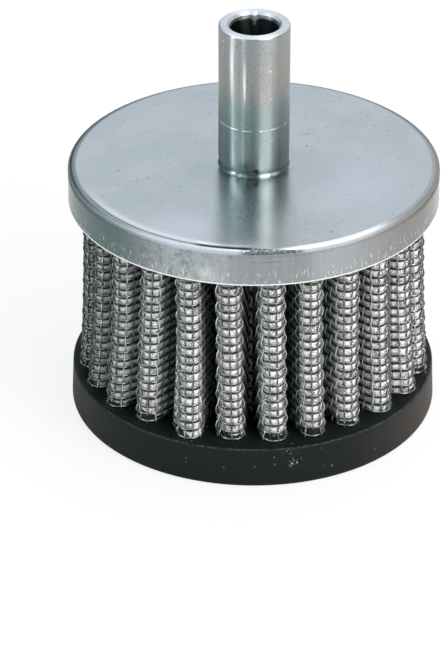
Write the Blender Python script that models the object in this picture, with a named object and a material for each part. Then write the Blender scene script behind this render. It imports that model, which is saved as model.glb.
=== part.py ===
"""Crankcase breather filter with a pleated wire-mesh media pack.

Metres, +Z up. The origin is the middle of the base's underside. A pleated pack of outer mesh,
gauze and inner mesh is bedded in a moulded base below and in sealant under a drawn cap above.
A vent tube stands on the cap, and its spigot is rolled over beneath it. Angles round the filter
start at -Y and grow towards +X.
"""

import math

import bmesh
import bpy
from mathutils import Vector

MM = 0.001

# Clearance between pieces that touch
GAP = 0.3 * MM

# Cap, drawn from sheet
CAP_RADIUS = 37.5 * MM
CAP_SHEET = 0.7 * MM
CAP_CORNER = 1.4 * MM
CAP_BEND = 0.7 * MM
CAP_SKIRT = 7.4 * MM

# Vent tube, with its spigot and the lip rolled under the cap
TUBE_RADIUS = 7.15 * MM
TUBE_LENGTH = 30.5 * MM
BORE_RADIUS = 5.0 * MM
RIM_CHAMFER = 0.45 * MM
BORE_CHAMFER = 0.25 * MM
FOOT_ROUND = 0.8 * MM
SPIGOT_WALL = 1.3 * MM
LIP_REACH = 1.3 * MM
LIP_THICKNESS = 0.9 * MM
FLASH_HEIGHT = 0.4 * MM
FLASH_WIDTH = 1.2 * MM
FLASH_ROOT = 0.5 * MM

# Moulded base
BASE_HEIGHT = 8.65 * MM
BASE_WALL = 2.7 * MM
BASE_DRAFT = 0.3 * MM
BASE_FOOT_ROUND = 1.0 * MM
BASE_TOP_ROUND = 0.4 * MM
SOCKET_DEPTH = 3.65 * MM

# Pleats, measured on the outer face of the pack
EXPOSED_HEIGHT = 37.75 * MM
PLEATS = 25
PACK_INSET = 1.9 * MM
PLEAT_DEPTH = 11.1 * MM
NOSE_RADIUS = 2.75 * MM
FOLD_RADIUS = 0.2 * MM
FIRST_NOSE = math.radians(5.4)
SEAM_AFTER = 12

# Layers of the pack, from outside to inside
OUTER_WIRE = 0.5 * MM
GAUZE_THICKNESS = 0.7 * MM
INNER_WIRE = 0.4 * MM
NOSE_SLACK = 0.3 * MM

# Weave of the outer mesh
ROW_PITCH = 1.85 * MM
KNUCKLE = 0.15 * MM
NOSE_WIRES = 4
WINDOW_STEP = 6

# Seam of the pleated strip and the clip that grips it
TAB_LENGTH = 4.3 * MM
CLIP_SHEET = 0.4 * MM
CLIP_GRIP = 3.3 * MM

# Sealant in the cap
SEALANT_DEPTH = 3.5 * MM
SEALANT_FLOOR = 1.0 * MM
SEALANT_RIM = 1.8 * MM

# Facets
LAYER_NOSE_POINTS = 3
FOLD_POINTS = 2
SOCKET_FOLD_POINTS = 1
BASE_SEGMENTS = 52
CAP_SEGMENTS = 52
SEALANT_SEGMENTS = 36
TUBE_SEGMENTS = 24
BOSS_POINTS = 26
CORNER_STEPS = 3
ROUND_STEPS = 2
SMOOTH_LIMIT = math.radians(35)

# Radii worked out from the cap inwards and from the pack outwards
CAP_INSIDE = CAP_RADIUS - CAP_SHEET
PACK_RADIUS = CAP_INSIDE - PACK_INSET
BASE_RADIUS = PACK_RADIUS + BASE_WALL
NOSE_CENTRE = PACK_RADIUS - NOSE_RADIUS
FOLD_CENTRE = PACK_RADIUS - PLEAT_DEPTH + FOLD_RADIUS
PACK_THICKNESS = OUTER_WIRE + GAUZE_THICKNESS + INNER_WIRE + 2 * GAP
FOLD_INSIDE = FOLD_CENTRE - FOLD_RADIUS - PACK_THICKNESS
TAB_TIP = FOLD_INSIDE - TAB_LENGTH
CLIP_BACK = TAB_TIP - GAP - CLIP_SHEET
CLIP_HALF_WIDTH = FOLD_RADIUS + PACK_THICKNESS + GAP + CLIP_SHEET
SPIGOT_RADIUS = BORE_RADIUS + SPIGOT_WALL
SEALANT_RADIUS = CAP_INSIDE - GAP
SEALANT_HOLE = CLIP_BACK - GAP - SEALANT_RIM

# Heights worked out upwards from the base
SKIRT_BOTTOM = BASE_HEIGHT + EXPOSED_HEIGHT
CAP_TOP = SKIRT_BOTTOM + CAP_SKIRT
CAP_UNDER = CAP_TOP - CAP_SHEET
SEALANT_TOP = CAP_UNDER - GAP
SEALANT_BOTTOM = SEALANT_TOP - SEALANT_DEPTH
PACK_TOP = SEALANT_TOP - SEALANT_FLOOR - GAP
PACK_BOTTOM = BASE_HEIGHT - SOCKET_DEPTH + GAP
TUBE_FOOT = CAP_TOP + GAP
TUBE_TOP = TUBE_FOOT + TUBE_LENGTH
LIP_TOP = CAP_UNDER - GAP
LIP_BOTTOM = LIP_TOP - LIP_THICKNESS

# Directions of the pleats' straight flanks
PITCH = 2 * math.pi / PLEATS
SEAM_ANGLE = FIRST_NOSE + (SEAM_AFTER + 0.5) * PITCH


def flank_lean():
    """Return how far a flank leans from its pleat's axis, as a tangent to its nose and fold."""
    along = NOSE_CENTRE - FOLD_CENTRE * math.cos(PITCH / 2)
    across = FOLD_CENTRE * math.sin(PITCH / 2)
    turn = math.asin((NOSE_RADIUS + FOLD_RADIUS) / math.hypot(along, across))
    return math.atan2(across, along) - turn


NOSE_TURN = math.pi / 2 - flank_lean()
FOLD_TURN = math.pi / 2 - flank_lean() - PITCH / 2


def clear_scene():
    """Remove every object, so the model starts from nothing."""
    for old in list(bpy.data.objects):
        bpy.data.objects.remove(old, do_unlink=True)


def finish(name, colour, roughness, metallic):
    """Make a Principled material."""
    material = bpy.data.materials.new(name)
    material.use_nodes = True
    shader = material.node_tree.nodes["Principled BSDF"]
    shader.inputs["Base Color"].default_value = (*colour, 1.0)
    shader.inputs["Roughness"].default_value = roughness
    shader.inputs["Metallic"].default_value = metallic
    return material


def add_object(name, mesh, material):
    """Turn a bmesh into a named object with its material, faces pointing out."""
    bmesh.ops.recalc_face_normals(mesh, faces=mesh.faces)
    data = bpy.data.meshes.new(name)
    mesh.to_mesh(data)
    mesh.free()
    if material:
        data.materials.append(material)
    made = bpy.data.objects.new(name, data)
    bpy.context.collection.objects.link(made)
    return made


def smooth(made):
    """Shade a round piece smooth, with its real edges kept sharp."""
    made.data.shade_smooth()
    made.data.set_sharp_from_angle(angle=SMOOTH_LIMIT)
    return made


def combine(made, tool, operation):
    """Cut or join a piece with a hidden tool object."""
    tool.hide_render = True
    tool.display_type = "WIRE"
    step = made.modifiers.new(tool.name, "BOOLEAN")
    step.operation = operation
    step.object = tool
    step.solver = "EXACT"
    return made


def polar(angle, along, across=0.0):
    """Return a plan point given along and across the direction at an angle from -Y."""
    x = along * math.sin(angle) + across * math.cos(angle)
    y = across * math.sin(angle) - along * math.cos(angle)
    return Vector((x, y))


def corner(centre, radius, start, end, steps):
    """Return profile points round a corner, angles in degrees from the outward direction."""
    points = []
    for step in range(steps + 1):
        turn = math.radians(start + (end - start) * step / steps)
        r = centre[0] + radius * math.cos(turn)
        points.append((r, centre[1] + radius * math.sin(turn)))
    return points


def revolved(name, profile, segments, material, solid=False):
    """Spin a profile of (radius, height) points round the Z axis.

    The profile is a closed loop, or for a solid piece an open line whose ends are filled flat.
    """
    mesh = bmesh.new()
    verts = [mesh.verts.new((r, 0.0, z)) for r, z in profile]
    edges = [mesh.edges.new(pair) for pair in zip(verts, verts[1:])]
    if not solid:
        edges.append(mesh.edges.new((verts[-1], verts[0])))
    bmesh.ops.spin(
        mesh,
        geom=verts + edges,
        cent=(0, 0, 0),
        axis=(0, 0, 1),
        angle=2 * math.pi,
        steps=segments,
    )
    bmesh.ops.remove_doubles(mesh, verts=mesh.verts, dist=GAP / 100)
    if solid:
        bmesh.ops.holes_fill(mesh, edges=mesh.edges)
    return smooth(add_object(name, mesh, material))


def prism(name, loops, bottom, top, material=None):
    """Fill one closed plan loop, or the space between two, and extrude it upwards."""
    mesh = bmesh.new()
    edges = []
    for loop in loops:
        verts = [mesh.verts.new((p.x, p.y, bottom)) for p in loop]
        for a, b in zip(verts, verts[1:] + verts[:1]):
            edges.append(mesh.edges.new((a, b)))
    bmesh.ops.triangle_fill(mesh, use_beauty=True, use_dissolve=False, edges=edges)
    raised = bmesh.ops.extrude_face_region(mesh, geom=list(mesh.faces), use_keep_orig=True)
    risen = [item for item in raised["geom"] if isinstance(item, bmesh.types.BMVert)]
    bmesh.ops.translate(mesh, verts=risen, vec=(0, 0, top - bottom))
    return add_object(name, mesh, material)


def turn_points(radius, half_turn, count):
    """Return (distance, angle) of the corners of a bend whose facets touch its circle."""
    reach = radius / math.cos(half_turn / count)
    step = 2 * half_turn / count
    return [(reach, (i + 0.5) * step - half_turn) for i in range(count)]


def nose(pleat, depth, count, slack=0.0):
    """Return the plan points round a pleat's nose, at a depth inside the outer face."""
    angle = FIRST_NOSE + pleat * PITCH
    points = []
    for reach, turn in turn_points(NOSE_RADIUS - depth, NOSE_TURN, count):
        along = NOSE_CENTRE - slack + reach * math.cos(turn)
        points.append(polar(angle, along, reach * math.sin(turn)))
    return points


def fold(pleat, depth, count):
    """Return the plan points round the fold that follows a pleat."""
    angle = FIRST_NOSE + (pleat + 0.5) * PITCH
    points = []
    for reach, turn in turn_points(FOLD_RADIUS + depth, FOLD_TURN, count):
        along = FOLD_CENTRE - reach * math.cos(turn)
        points.append(polar(angle, along, reach * math.sin(turn)))
    return points


def tab(side, depth):
    """Return the bend and the tip of the strip's end, on one side of the seam."""
    across = FOLD_RADIUS + depth
    bend = (math.pi / 2 - FOLD_TURN) / 2
    along = FOLD_CENTRE - across * math.tan(bend)
    return [polar(SEAM_ANGLE, r, side * across) for r in (along, TAB_TIP)]


def strip_line(depth, count, slack):
    """Return a face of the pleated strip in plan, from the tip of one tab to the other's."""
    points = tab(1, depth)[::-1]
    for step in range(PLEATS):
        pleat = SEAM_AFTER + 1 + step
        points += nose(pleat, depth, count, slack)
        if step < PLEATS - 1:
            points += fold(pleat, depth, FOLD_POINTS)
    return points + tab(-1, depth)


def socket_loops():
    """Return the two loops of the socket that the pack and its clip stand in."""
    room = -(GAP + KNUCKLE)
    outside = []
    for pleat in range(PLEATS):
        outside += nose(pleat, room, NOSE_WIRES) + fold(pleat, room, SOCKET_FOLD_POINTS)
    boss = FOLD_INSIDE - GAP
    half = CLIP_HALF_WIDTH + GAP
    back = CLIP_BACK - GAP
    mouth = math.asin(half / boss)
    inside = [polar(SEAM_ANGLE, back, -half), polar(SEAM_ANGLE, back, half)]
    for step in range(BOSS_POINTS + 1):
        turn = mouth + (2 * math.pi - 2 * mouth) * step / BOSS_POINTS
        inside.append(polar(SEAM_ANGLE + turn, boss))
    return [outside, inside]


def stitch(mesh, left, right):
    """Join two rising columns of vertices by triangles, taking the shorter diagonal."""
    i, j = 0, 0
    while i < len(left) - 1 or j < len(right) - 1:
        rise_left = i < len(left) - 1
        if rise_left and j < len(right) - 1:
            across_left = (left[i + 1].co - right[j].co).length
            rise_left = across_left <= (right[j + 1].co - left[i].co).length
        if rise_left:
            mesh.faces.new((left[i], right[j], left[i + 1]))
            i += 1
        else:
            mesh.faces.new((left[i], right[j], right[j + 1]))
            j += 1


def mesh_rows():
    """Return the heights of the crosswise wires that show between the base and the cap."""
    count = int((EXPOSED_HEIGHT - ROW_PITCH) / ROW_PITCH) + 1
    first = BASE_HEIGHT + (EXPOSED_HEIGHT - (count - 1) * ROW_PITCH) / 2
    return [first + row * ROW_PITCH for row in range(count)]


def column(mesh, point, heights):
    """Make a rising column of vertices over a plan point."""
    return [mesh.verts.new((point.x, point.y, z)) for z in heights]


def close_strip(mesh, outer, inner):
    """Close the lower and upper edges of a strip and the tips of its two tabs."""
    for i in range(len(outer) - 1):
        for level in (0, -1):
            mesh.faces.new((outer[i][level], outer[i + 1][level], inner[i + 1][level], inner[i][level]))
    for end in (0, -1):
        stitch(mesh, outer[end], inner[end])


def plain_layer(name, depth, thickness, material):
    """Make an inner layer of the pack, pleated like the outer mesh and smooth on both faces."""
    mesh = bmesh.new()
    faces = []
    for face_depth in (depth, depth + thickness):
        line = strip_line(face_depth, LAYER_NOSE_POINTS, NOSE_SLACK)
        faces.append([column(mesh, p, (PACK_BOTTOM, PACK_TOP)) for p in line])
    for side in faces:
        for left, right in zip(side, side[1:]):
            stitch(mesh, left, right)
    close_strip(mesh, *faces)
    return add_object(name, mesh, material)


def station_kinds():
    """Return for each point of the outer mesh's line its pleat and its wire on the nose."""
    kinds = [None, None]
    for pleat in range(PLEATS):
        kinds += [(pleat, wire) for wire in range(NOSE_WIRES)]
        if pleat < PLEATS - 1:
            kinds += [None] * FOLD_POINTS
    return kinds + [None, None]


def raise_knuckles(columns, kinds):
    """Push the crossings of the nose wires out and in by turns, as a plain weave does."""
    centres = [polar(FIRST_NOSE + (SEAM_AFTER + 1 + p) * PITCH, NOSE_CENTRE) for p in range(PLEATS)]
    for verts, kind in zip(columns, kinds):
        if kind:
            pleat, wire = kind
            way = (verts[0].co.to_2d() - centres[pleat]).normalized().to_3d()
            for row, vert in enumerate(verts[1:-1]):
                lift = KNUCKLE if (row + wire) % 2 == 0 else -KNUCKLE
                vert.co += way * lift


def window_rows(pleat, rows):
    """Return the rows under the open windows of a pleat, staggered from pleat to pleat."""
    first = WINDOW_STEP // 2 if pleat % 2 == 0 else WINDOW_STEP
    return list(range(first, len(rows), WINDOW_STEP))


def outer_screen(material):
    """Make the outer mesh: knuckled crossings on every nose, and open windows through it."""
    mesh = bmesh.new()
    rows = mesh_rows()
    kinds = station_kinds()
    middle = NOSE_WIRES // 2 - 1
    outer, inner = [], []
    outer_line = strip_line(0.0, NOSE_WIRES, 0.0)
    inner_line = strip_line(OUTER_WIRE, NOSE_WIRES, 0.0)
    for outside, inside, kind in zip(outer_line, inner_line, kinds):
        heights_out, heights_in = [], []
        if kind:
            heights_out = rows
            if kind[1] in (middle, middle + 1):
                for row in window_rows(kind[0], rows):
                    heights_in += rows[row - 1 : row + 1]
        outer.append(column(mesh, outside, [PACK_BOTTOM, *heights_out, PACK_TOP]))
        inner.append(column(mesh, inside, [PACK_BOTTOM, *heights_in, PACK_TOP]))
    raise_knuckles(outer, kinds)
    for i in range(len(outer) - 1):
        if kinds[i] and kinds[i][1] == middle:
            windows = window_rows(kinds[i][0], rows)
            open_strip(mesh, outer[i : i + 2], inner[i : i + 2], windows)
        else:
            stitch(mesh, outer[i], outer[i + 1])
            stitch(mesh, inner[i], inner[i + 1])
    close_strip(mesh, outer, inner)
    return add_object("outer_screen", mesh, material)


def open_strip(mesh, outer, inner, windows):
    """Join the strip between two wires on both faces, with windows through the wall."""
    below_out, below_in = 0, 0
    for place, row in enumerate(windows):
        sill = 1 + 2 * place
        stitch(mesh, outer[0][below_out : row + 1], outer[1][below_out : row + 1])
        stitch(mesh, inner[0][below_in : sill + 1], inner[1][below_in : sill + 1])
        rim_out = [outer[0][row], outer[1][row], outer[1][row + 1], outer[0][row + 1]]
        rim_in = [inner[0][sill], inner[1][sill], inner[1][sill + 1], inner[0][sill + 1]]
        for k in range(4):
            n = (k + 1) % 4
            mesh.faces.new((rim_out[k], rim_out[n], rim_in[n], rim_in[k]))
        below_out, below_in = row + 1, sill + 1
    stitch(mesh, outer[0][below_out:], outer[1][below_out:])
    stitch(mesh, inner[0][below_in:], inner[1][below_in:])


def rubber_base(material):
    """Make the moulded base, with the socket that the pleats are bedded in."""
    top = BASE_RADIUS - BASE_DRAFT
    foot = (BASE_RADIUS - BASE_FOOT_ROUND, BASE_FOOT_ROUND)
    edge = (top - BASE_TOP_ROUND, BASE_HEIGHT - BASE_TOP_ROUND)
    profile = corner(foot, BASE_FOOT_ROUND, -90, 0, ROUND_STEPS)
    profile += corner(edge, BASE_TOP_ROUND, 0, 90, 1)
    base = revolved("rubber_base", profile, BASE_SEGMENTS, material, solid=True)
    floor = BASE_HEIGHT - SOCKET_DEPTH
    socket = prism("base_socket", socket_loops(), floor, BASE_HEIGHT + SOCKET_DEPTH)
    return combine(base, socket, "DIFFERENCE")


def cap_sealant(material):
    """Make the ring of sealant under the cap, with the socket for the pack's upper end."""
    edge = (SEALANT_RADIUS - CAP_BEND, SEALANT_TOP - CAP_BEND)
    profile = [(SEALANT_HOLE, SEALANT_BOTTOM), (SEALANT_RADIUS, SEALANT_BOTTOM)]
    profile += corner(edge, CAP_BEND, 0, 90, 1)
    profile += [(SEALANT_HOLE, SEALANT_TOP)]
    sealant = revolved("cap_sealant", profile, SEALANT_SEGMENTS, material)
    below = SEALANT_BOTTOM - SEALANT_DEPTH
    socket = prism("sealant_socket", socket_loops(), below, PACK_TOP + GAP)
    return combine(sealant, socket, "DIFFERENCE")


def top_cap(material):
    """Make the drawn cap: flat top, rounded corner, straight skirt and a hole for the spigot."""
    hole = SPIGOT_RADIUS + GAP
    outer = (CAP_RADIUS - CAP_CORNER, CAP_TOP - CAP_CORNER)
    inner = (CAP_INSIDE - CAP_BEND, CAP_UNDER - CAP_BEND)
    profile = [(hole, CAP_TOP)]
    profile += corner(outer, CAP_CORNER, 90, 0, CORNER_STEPS)
    profile += [(CAP_RADIUS, SKIRT_BOTTOM), (CAP_INSIDE, SKIRT_BOTTOM)]
    profile += corner(inner, CAP_BEND, 0, 90, 1)
    profile += [(hole, CAP_UNDER)]
    return revolved("top_cap", profile, CAP_SEGMENTS, material)


def vent_tube(material):
    """Make the vent tube with its rounded foot, its spigot and the lip rolled under the cap."""
    foot = (TUBE_RADIUS - FOOT_ROUND, TUBE_FOOT + FOOT_ROUND)
    lip = SPIGOT_RADIUS + LIP_REACH
    roll = (lip - LIP_THICKNESS, LIP_TOP)
    profile = [(TUBE_RADIUS - RIM_CHAMFER, TUBE_TOP), (TUBE_RADIUS, TUBE_TOP - RIM_CHAMFER)]
    profile += corner(foot, FOOT_ROUND, 0, -90, ROUND_STEPS)
    profile += [(SPIGOT_RADIUS, TUBE_FOOT), (SPIGOT_RADIUS, LIP_TOP)]
    profile += corner(roll, LIP_THICKNESS, 0, -90, ROUND_STEPS)
    profile += [(BORE_RADIUS, LIP_BOTTOM), (BORE_RADIUS, TUBE_TOP - BORE_CHAMFER)]
    profile += [(BORE_RADIUS + BORE_CHAMFER, TUBE_TOP)]
    tube = revolved("vent_tube", profile, TUBE_SEGMENTS, material)
    return combine(tube, weld_flash(), "UNION")


def weld_flash():
    """Make the bead that the tube's seam weld leaves along the back of the bore."""
    crown = BORE_RADIUS - FLASH_HEIGHT
    root = BORE_RADIUS + FLASH_ROOT
    section = [(root, -1), (crown, -0.4), (crown, 0.4), (root, 1)]
    loop = [polar(math.pi, r, share * FLASH_WIDTH / 2) for r, share in section]
    return prism("weld_flash", [loop], LIP_BOTTOM + FLASH_HEIGHT, TUBE_TOP - FLASH_ROOT)


def seam_clip(material):
    """Make the folded clip that grips the strip's two tabs, over the pack's whole height."""
    inside = CLIP_HALF_WIDTH - CLIP_SHEET
    mouth = TAB_TIP + CLIP_GRIP
    floor = CLIP_BACK + CLIP_SHEET
    section = [(mouth, inside), (floor, inside), (floor, -inside), (mouth, -inside)]
    section += [(mouth, -CLIP_HALF_WIDTH), (CLIP_BACK + CLIP_SHEET, -CLIP_HALF_WIDTH)]
    section += [(CLIP_BACK, -inside), (CLIP_BACK, inside)]
    section += [(CLIP_BACK + CLIP_SHEET, CLIP_HALF_WIDTH), (mouth, CLIP_HALF_WIDTH)]
    loop = [polar(SEAM_ANGLE, along, across) for along, across in section]
    return prism("seam_clip", [loop], PACK_BOTTOM, PACK_TOP, material)


def build():
    """Model every piece of the filter."""
    clear_scene()
    zinc = finish("zinc_plate", (0.50, 0.53, 0.56), 0.32, 1.0)
    wire = finish("mesh_wire", (0.52, 0.53, 0.53), 0.35, 1.0)
    rubber = finish("base_rubber", (0.015, 0.019, 0.019), 0.42, 0.0)
    cotton = finish("cotton_gauze", (0.62, 0.62, 0.58), 0.9, 0.0)
    tin = finish("clip_tin", (0.55, 0.56, 0.57), 0.4, 1.0)
    compound = finish("sealing_compound", (0.02, 0.02, 0.022), 0.5, 0.0)
    rubber_base(rubber)
    outer_screen(wire)
    gauze_depth = OUTER_WIRE + GAP
    plain_layer("gauze_media", gauze_depth, GAUZE_THICKNESS, cotton)
    inner_depth = gauze_depth + GAUZE_THICKNESS + GAP
    plain_layer("inner_screen", inner_depth, INNER_WIRE, wire)
    seam_clip(tin)
    cap_sealant(compound)
    top_cap(zinc)
    vent_tube(zinc)


build()
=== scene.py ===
"""Dressed model of the crankcase breather filter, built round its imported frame.

Metres, +Z up, with the origin in the middle of the base's underside. Angles round the filter start at
-Y and grow towards +X. Each sub-assembly is a class with its sizes and the methods that build and dress
it, and each finish is a small class that makes one material.
"""

import logging
import math
from dataclasses import dataclass, field
from enum import Enum

import bpy
import numpy as np
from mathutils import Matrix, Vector


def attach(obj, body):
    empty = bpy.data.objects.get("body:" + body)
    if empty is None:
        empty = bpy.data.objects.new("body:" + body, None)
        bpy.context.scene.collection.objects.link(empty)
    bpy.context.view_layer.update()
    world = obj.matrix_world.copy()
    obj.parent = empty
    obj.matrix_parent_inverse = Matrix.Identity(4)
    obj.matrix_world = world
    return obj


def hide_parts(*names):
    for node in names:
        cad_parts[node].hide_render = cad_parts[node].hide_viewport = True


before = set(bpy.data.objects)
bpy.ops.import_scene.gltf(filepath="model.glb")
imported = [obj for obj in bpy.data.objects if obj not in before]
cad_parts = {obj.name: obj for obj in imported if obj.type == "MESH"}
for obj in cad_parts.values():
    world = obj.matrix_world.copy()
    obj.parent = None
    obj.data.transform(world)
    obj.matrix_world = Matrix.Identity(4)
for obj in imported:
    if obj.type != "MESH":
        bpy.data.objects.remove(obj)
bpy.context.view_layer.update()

LOG = logging.getLogger("breather_filter")
MM = 0.001
BODY = "root"
SHARP_LIMIT = math.radians(38)

# Sizes shared by the pieces and their finishes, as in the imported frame
BASE_TOP = 8.65 * MM
SKIRT_BOTTOM = 46.4 * MM
CAP_TOP = 53.8 * MM
TUBE_TOP = 84.6 * MM
BORE_RADIUS = 5.0 * MM
SCRIBED_HEIGHT = 64.3 * MM
ROW_PITCH = 1.842 * MM
FIRST_ROW = 9.25 * MM
PACK_BOTTOM = 5.6 * MM
PACK_TOP = 51.2 * MM

Array = np.ndarray
Colour = tuple[float, float, float]
Triple = tuple[float, float, float]
Span = tuple[float, float]

WHITE: Colour = (1.0, 1.0, 1.0)


def mm(*lengths: float) -> tuple[float, ...]:
    """Turn lengths in millimetres into metres."""
    return tuple(length * MM for length in lengths)


def above(height: float, *rises: float) -> tuple[float, ...]:
    """Return the heights that lie some millimetres above a height, or below it where negative."""
    return tuple(height + rise * MM for rise in rises)


class Along(Enum):
    """What a fade runs along: an axis, the distance from the filter's axis, or how far it faces up."""

    X = "x"
    Y = "y"
    Z = "z"
    RADIUS = "radius"
    UPWARD = "upward"


@dataclass(frozen=True)
class Noise:
    """Smooth noise: size of its features, octaves, their roughness, and its stretch along the axes.

    Where a span is given, the noise becomes a mask, 0 at the span's first value and 1 at its second.
    """

    size: float
    detail: float = 2.0
    rough: float = 0.5
    stretch: Triple | None = None
    span: Span | None = None

    def on(self, site: "Site") -> "Signal":
        """Return the noise at a place."""
        return site.board.noise(site.place, self)


@dataclass(frozen=True)
class Fade:
    """A mask along one measure of a place, 0 at the span's first value and 1 at its second.

    Where a middle is given, the span's values are distances from it. Where a noise is given, it shifts
    the fade to and fro by up to half the shift.
    """

    along: Along
    span: Span
    middle: float | None = None
    uneven: Noise | None = None
    shift: float = 0.0

    def on(self, site: "Site") -> "Signal":
        """Return the mask at a place.

        Args:
            site: The place.

        Returns:
            The mask.
        """
        value = getattr(site, self.along.value)
        if self.uneven:
            value = value + (self.uneven.on(site) - 0.5) * self.shift
        return (value if self.middle is None else abs(value - self.middle)).rise(self.span)


@dataclass(frozen=True)
class Spot:
    """An oval spot: its middle, half sizes along the axes, strength, and a span that sharpens its rim."""

    centre: Triple
    reach: Triple
    strength: float = 1.0
    span: Span | None = None

    def on(self, site: "Site") -> "Signal":
        """Return the spot's mask at a place."""
        mask = site.board.spot(site.place, self)
        return mask.rise(self.span) if self.span else mask


Mask = Noise | Fade | Spot


@dataclass(frozen=True)
class Coat:
    """A colour laid over a finish, with the share that it takes where all of its masks are full."""

    colour: Colour
    share: float
    masks: tuple[Mask, ...]


# The left of the pack lies in shade
SHADED_SIDE = Fade(Along.X, mm(-22, -34))
SHADED_SHARE = 0.45


def patch(middle: Triple, reach: Triple, share: float, colour: Colour = WHITE, *more: Mask) -> Coat:
    """Return a coat on an oval spot, broken up by more masks."""
    return Coat(colour, share, (Spot(middle, reach), *more))


class Signal:
    """A number, colour or vector leaving a shader socket, with arithmetic that adds Math nodes."""

    def __init__(self, board: "Board", socket: bpy.types.NodeSocket) -> None:
        """Keep the socket and the board that it is on."""
        self.board = board
        self.socket = socket

    def pick(self, name: str) -> "Signal":
        """Return another output of the node that this signal leaves."""
        return Signal(self.board, self.socket.node.outputs[name])

    def __add__(self, other: "Signal | float") -> "Signal":
        """Add another signal or number."""
        return self.board.math("ADD", self, other)

    __radd__ = __add__

    def __sub__(self, other: "Signal | float") -> "Signal":
        """Take another signal or number away."""
        return self.board.math("SUBTRACT", self, other)

    def __rsub__(self, other: "Signal | float") -> "Signal":
        """Take this signal away from a number."""
        return self.board.math("SUBTRACT", other, self)

    def __mul__(self, other: "Signal | float") -> "Signal":
        """Multiply by another signal or number."""
        return self.board.math("MULTIPLY", self, other)

    __rmul__ = __mul__

    def __truediv__(self, other: "Signal | float") -> "Signal":
        """Divide by another signal or number."""
        return self.board.math("DIVIDE", self, other)

    def __abs__(self) -> "Signal":
        """Drop the sign."""
        return self.board.math("ABSOLUTE", self)

    def rise(self, span: Span) -> "Signal":
        """Return 0 at the span's first value and 1 at its second, with a smooth rise between them."""
        sockets = {"Value": self, "From Min": span[0], "From Max": span[1]}
        return self.board.add("ShaderNodeMapRange", {"interpolation_type": "SMOOTHSTEP"}, sockets)


class Board:
    """The node tree of one material or of the world."""

    def __init__(self, tree: bpy.types.NodeTree) -> None:
        """Start from an empty tree."""
        self.tree = tree
        tree.nodes.clear()

    def add(
        self,
        kind: str,
        settings: dict[str, object] | None = None,
        sockets: dict[str | int, object] | None = None,
        output: int = 0,
    ) -> Signal:
        """Add a node, set it up, then fill its sockets.

        Args:
            kind: The node's type.
            settings: Its properties.
            sockets: Values or signals by socket name or number.
            output: Number of the output to return.

        Returns:
            The signal that leaves the chosen output, or the first socket of a node without outputs.
        """
        node = self.tree.nodes.new(kind)
        for name, value in (settings or {}).items():
            setattr(node, name, value)
        for name, value in (sockets or {}).items():
            if isinstance(value, Signal):
                self.tree.links.new(value.socket, node.inputs[name])
            else:
                node.inputs[name].default_value = value
        return Signal(self, node.outputs[output] if node.outputs else node.inputs[0])

    def math(self, operation: str, *values: Signal | float) -> Signal:
        """Add a Math node on signals or numbers."""
        return self.add("ShaderNodeMath", {"operation": operation}, dict(enumerate(values)))

    def vector(self, operation: str, *values: Signal | Triple, output: int = 0) -> Signal:
        """Add a Vector Math node on signals or vectors."""
        return self.add("ShaderNodeVectorMath", {"operation": operation}, dict(enumerate(values)), output)

    def mix(self, share: Signal | float, first: Signal | Colour, second: Signal | Colour) -> Signal:
        """Blend two colours by a share.

        Args:
            share: How much of the second colour is taken.
            first: The colour at 0.
            second: The colour at 1.

        Returns:
            The blend.
        """
        ends = [c if isinstance(c, Signal) else (*c, 1.0) for c in (first, second)]
        sockets = {0: share, 6: ends[0], 7: ends[1]}
        return self.add("ShaderNodeMix", {"data_type": "RGBA"}, sockets, output=2)

    def place(self, name: str = "Object") -> Signal:
        """Return a texture coordinate by the name of its output."""
        return self.add("ShaderNodeTexCoord").pick(name)

    def parts(self, vector: Signal) -> tuple[Signal, Signal, Signal]:
        """Split a vector into its three numbers."""
        split = self.add("ShaderNodeSeparateXYZ", sockets={0: vector})
        return split.pick("X"), split.pick("Y"), split.pick("Z")

    def noise(self, vector: Signal, noise: Noise) -> Signal:
        """Add noise at a coordinate, as a mask where it has a span.

        Args:
            vector: The coordinate.
            noise: Size, detail, stretch and span of the noise.

        Returns:
            The noise or its mask.
        """
        if noise.stretch:
            vector = self.vector("MULTIPLY", vector, noise.stretch)
        sockets = {"Vector": vector, "Scale": 1 / noise.size}
        sockets |= {"Detail": noise.detail, "Roughness": noise.rough}
        value = self.add("ShaderNodeTexNoise", sockets=sockets)
        return value.rise(noise.span) if noise.span else value

    def spot(self, vector: Signal, spot: Spot) -> Signal:
        """Return a spot's strength at its middle, falling to 0 at its oval rim.

        Args:
            vector: The coordinate.
            spot: The spot.

        Returns:
            The spot's mask.
        """
        shift = self.vector("SUBTRACT", vector, spot.centre)
        scaled = self.vector("MULTIPLY", shift, tuple(1 / r for r in spot.reach))
        return self.vector("LENGTH", scaled, output=1).rise((1.0, 0.0)) * spot.strength

    def bump(self, height: Signal, distance: float, strength: float) -> Signal:
        """Return a normal from heights of 0 to 1 that stand for a distance in metres."""
        sockets = {"Height": height, "Distance": distance, "Strength": strength}
        return self.add("ShaderNodeBump", sockets=sockets)


def blank(name: str) -> tuple[bpy.types.Material, Board]:
    """Start a material.

    Args:
        name: The material's name.

    Returns:
        The new material and its empty board.
    """
    material = bpy.data.materials.new(name)
    material.use_nodes = True
    return material, Board(material.node_tree)


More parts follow.
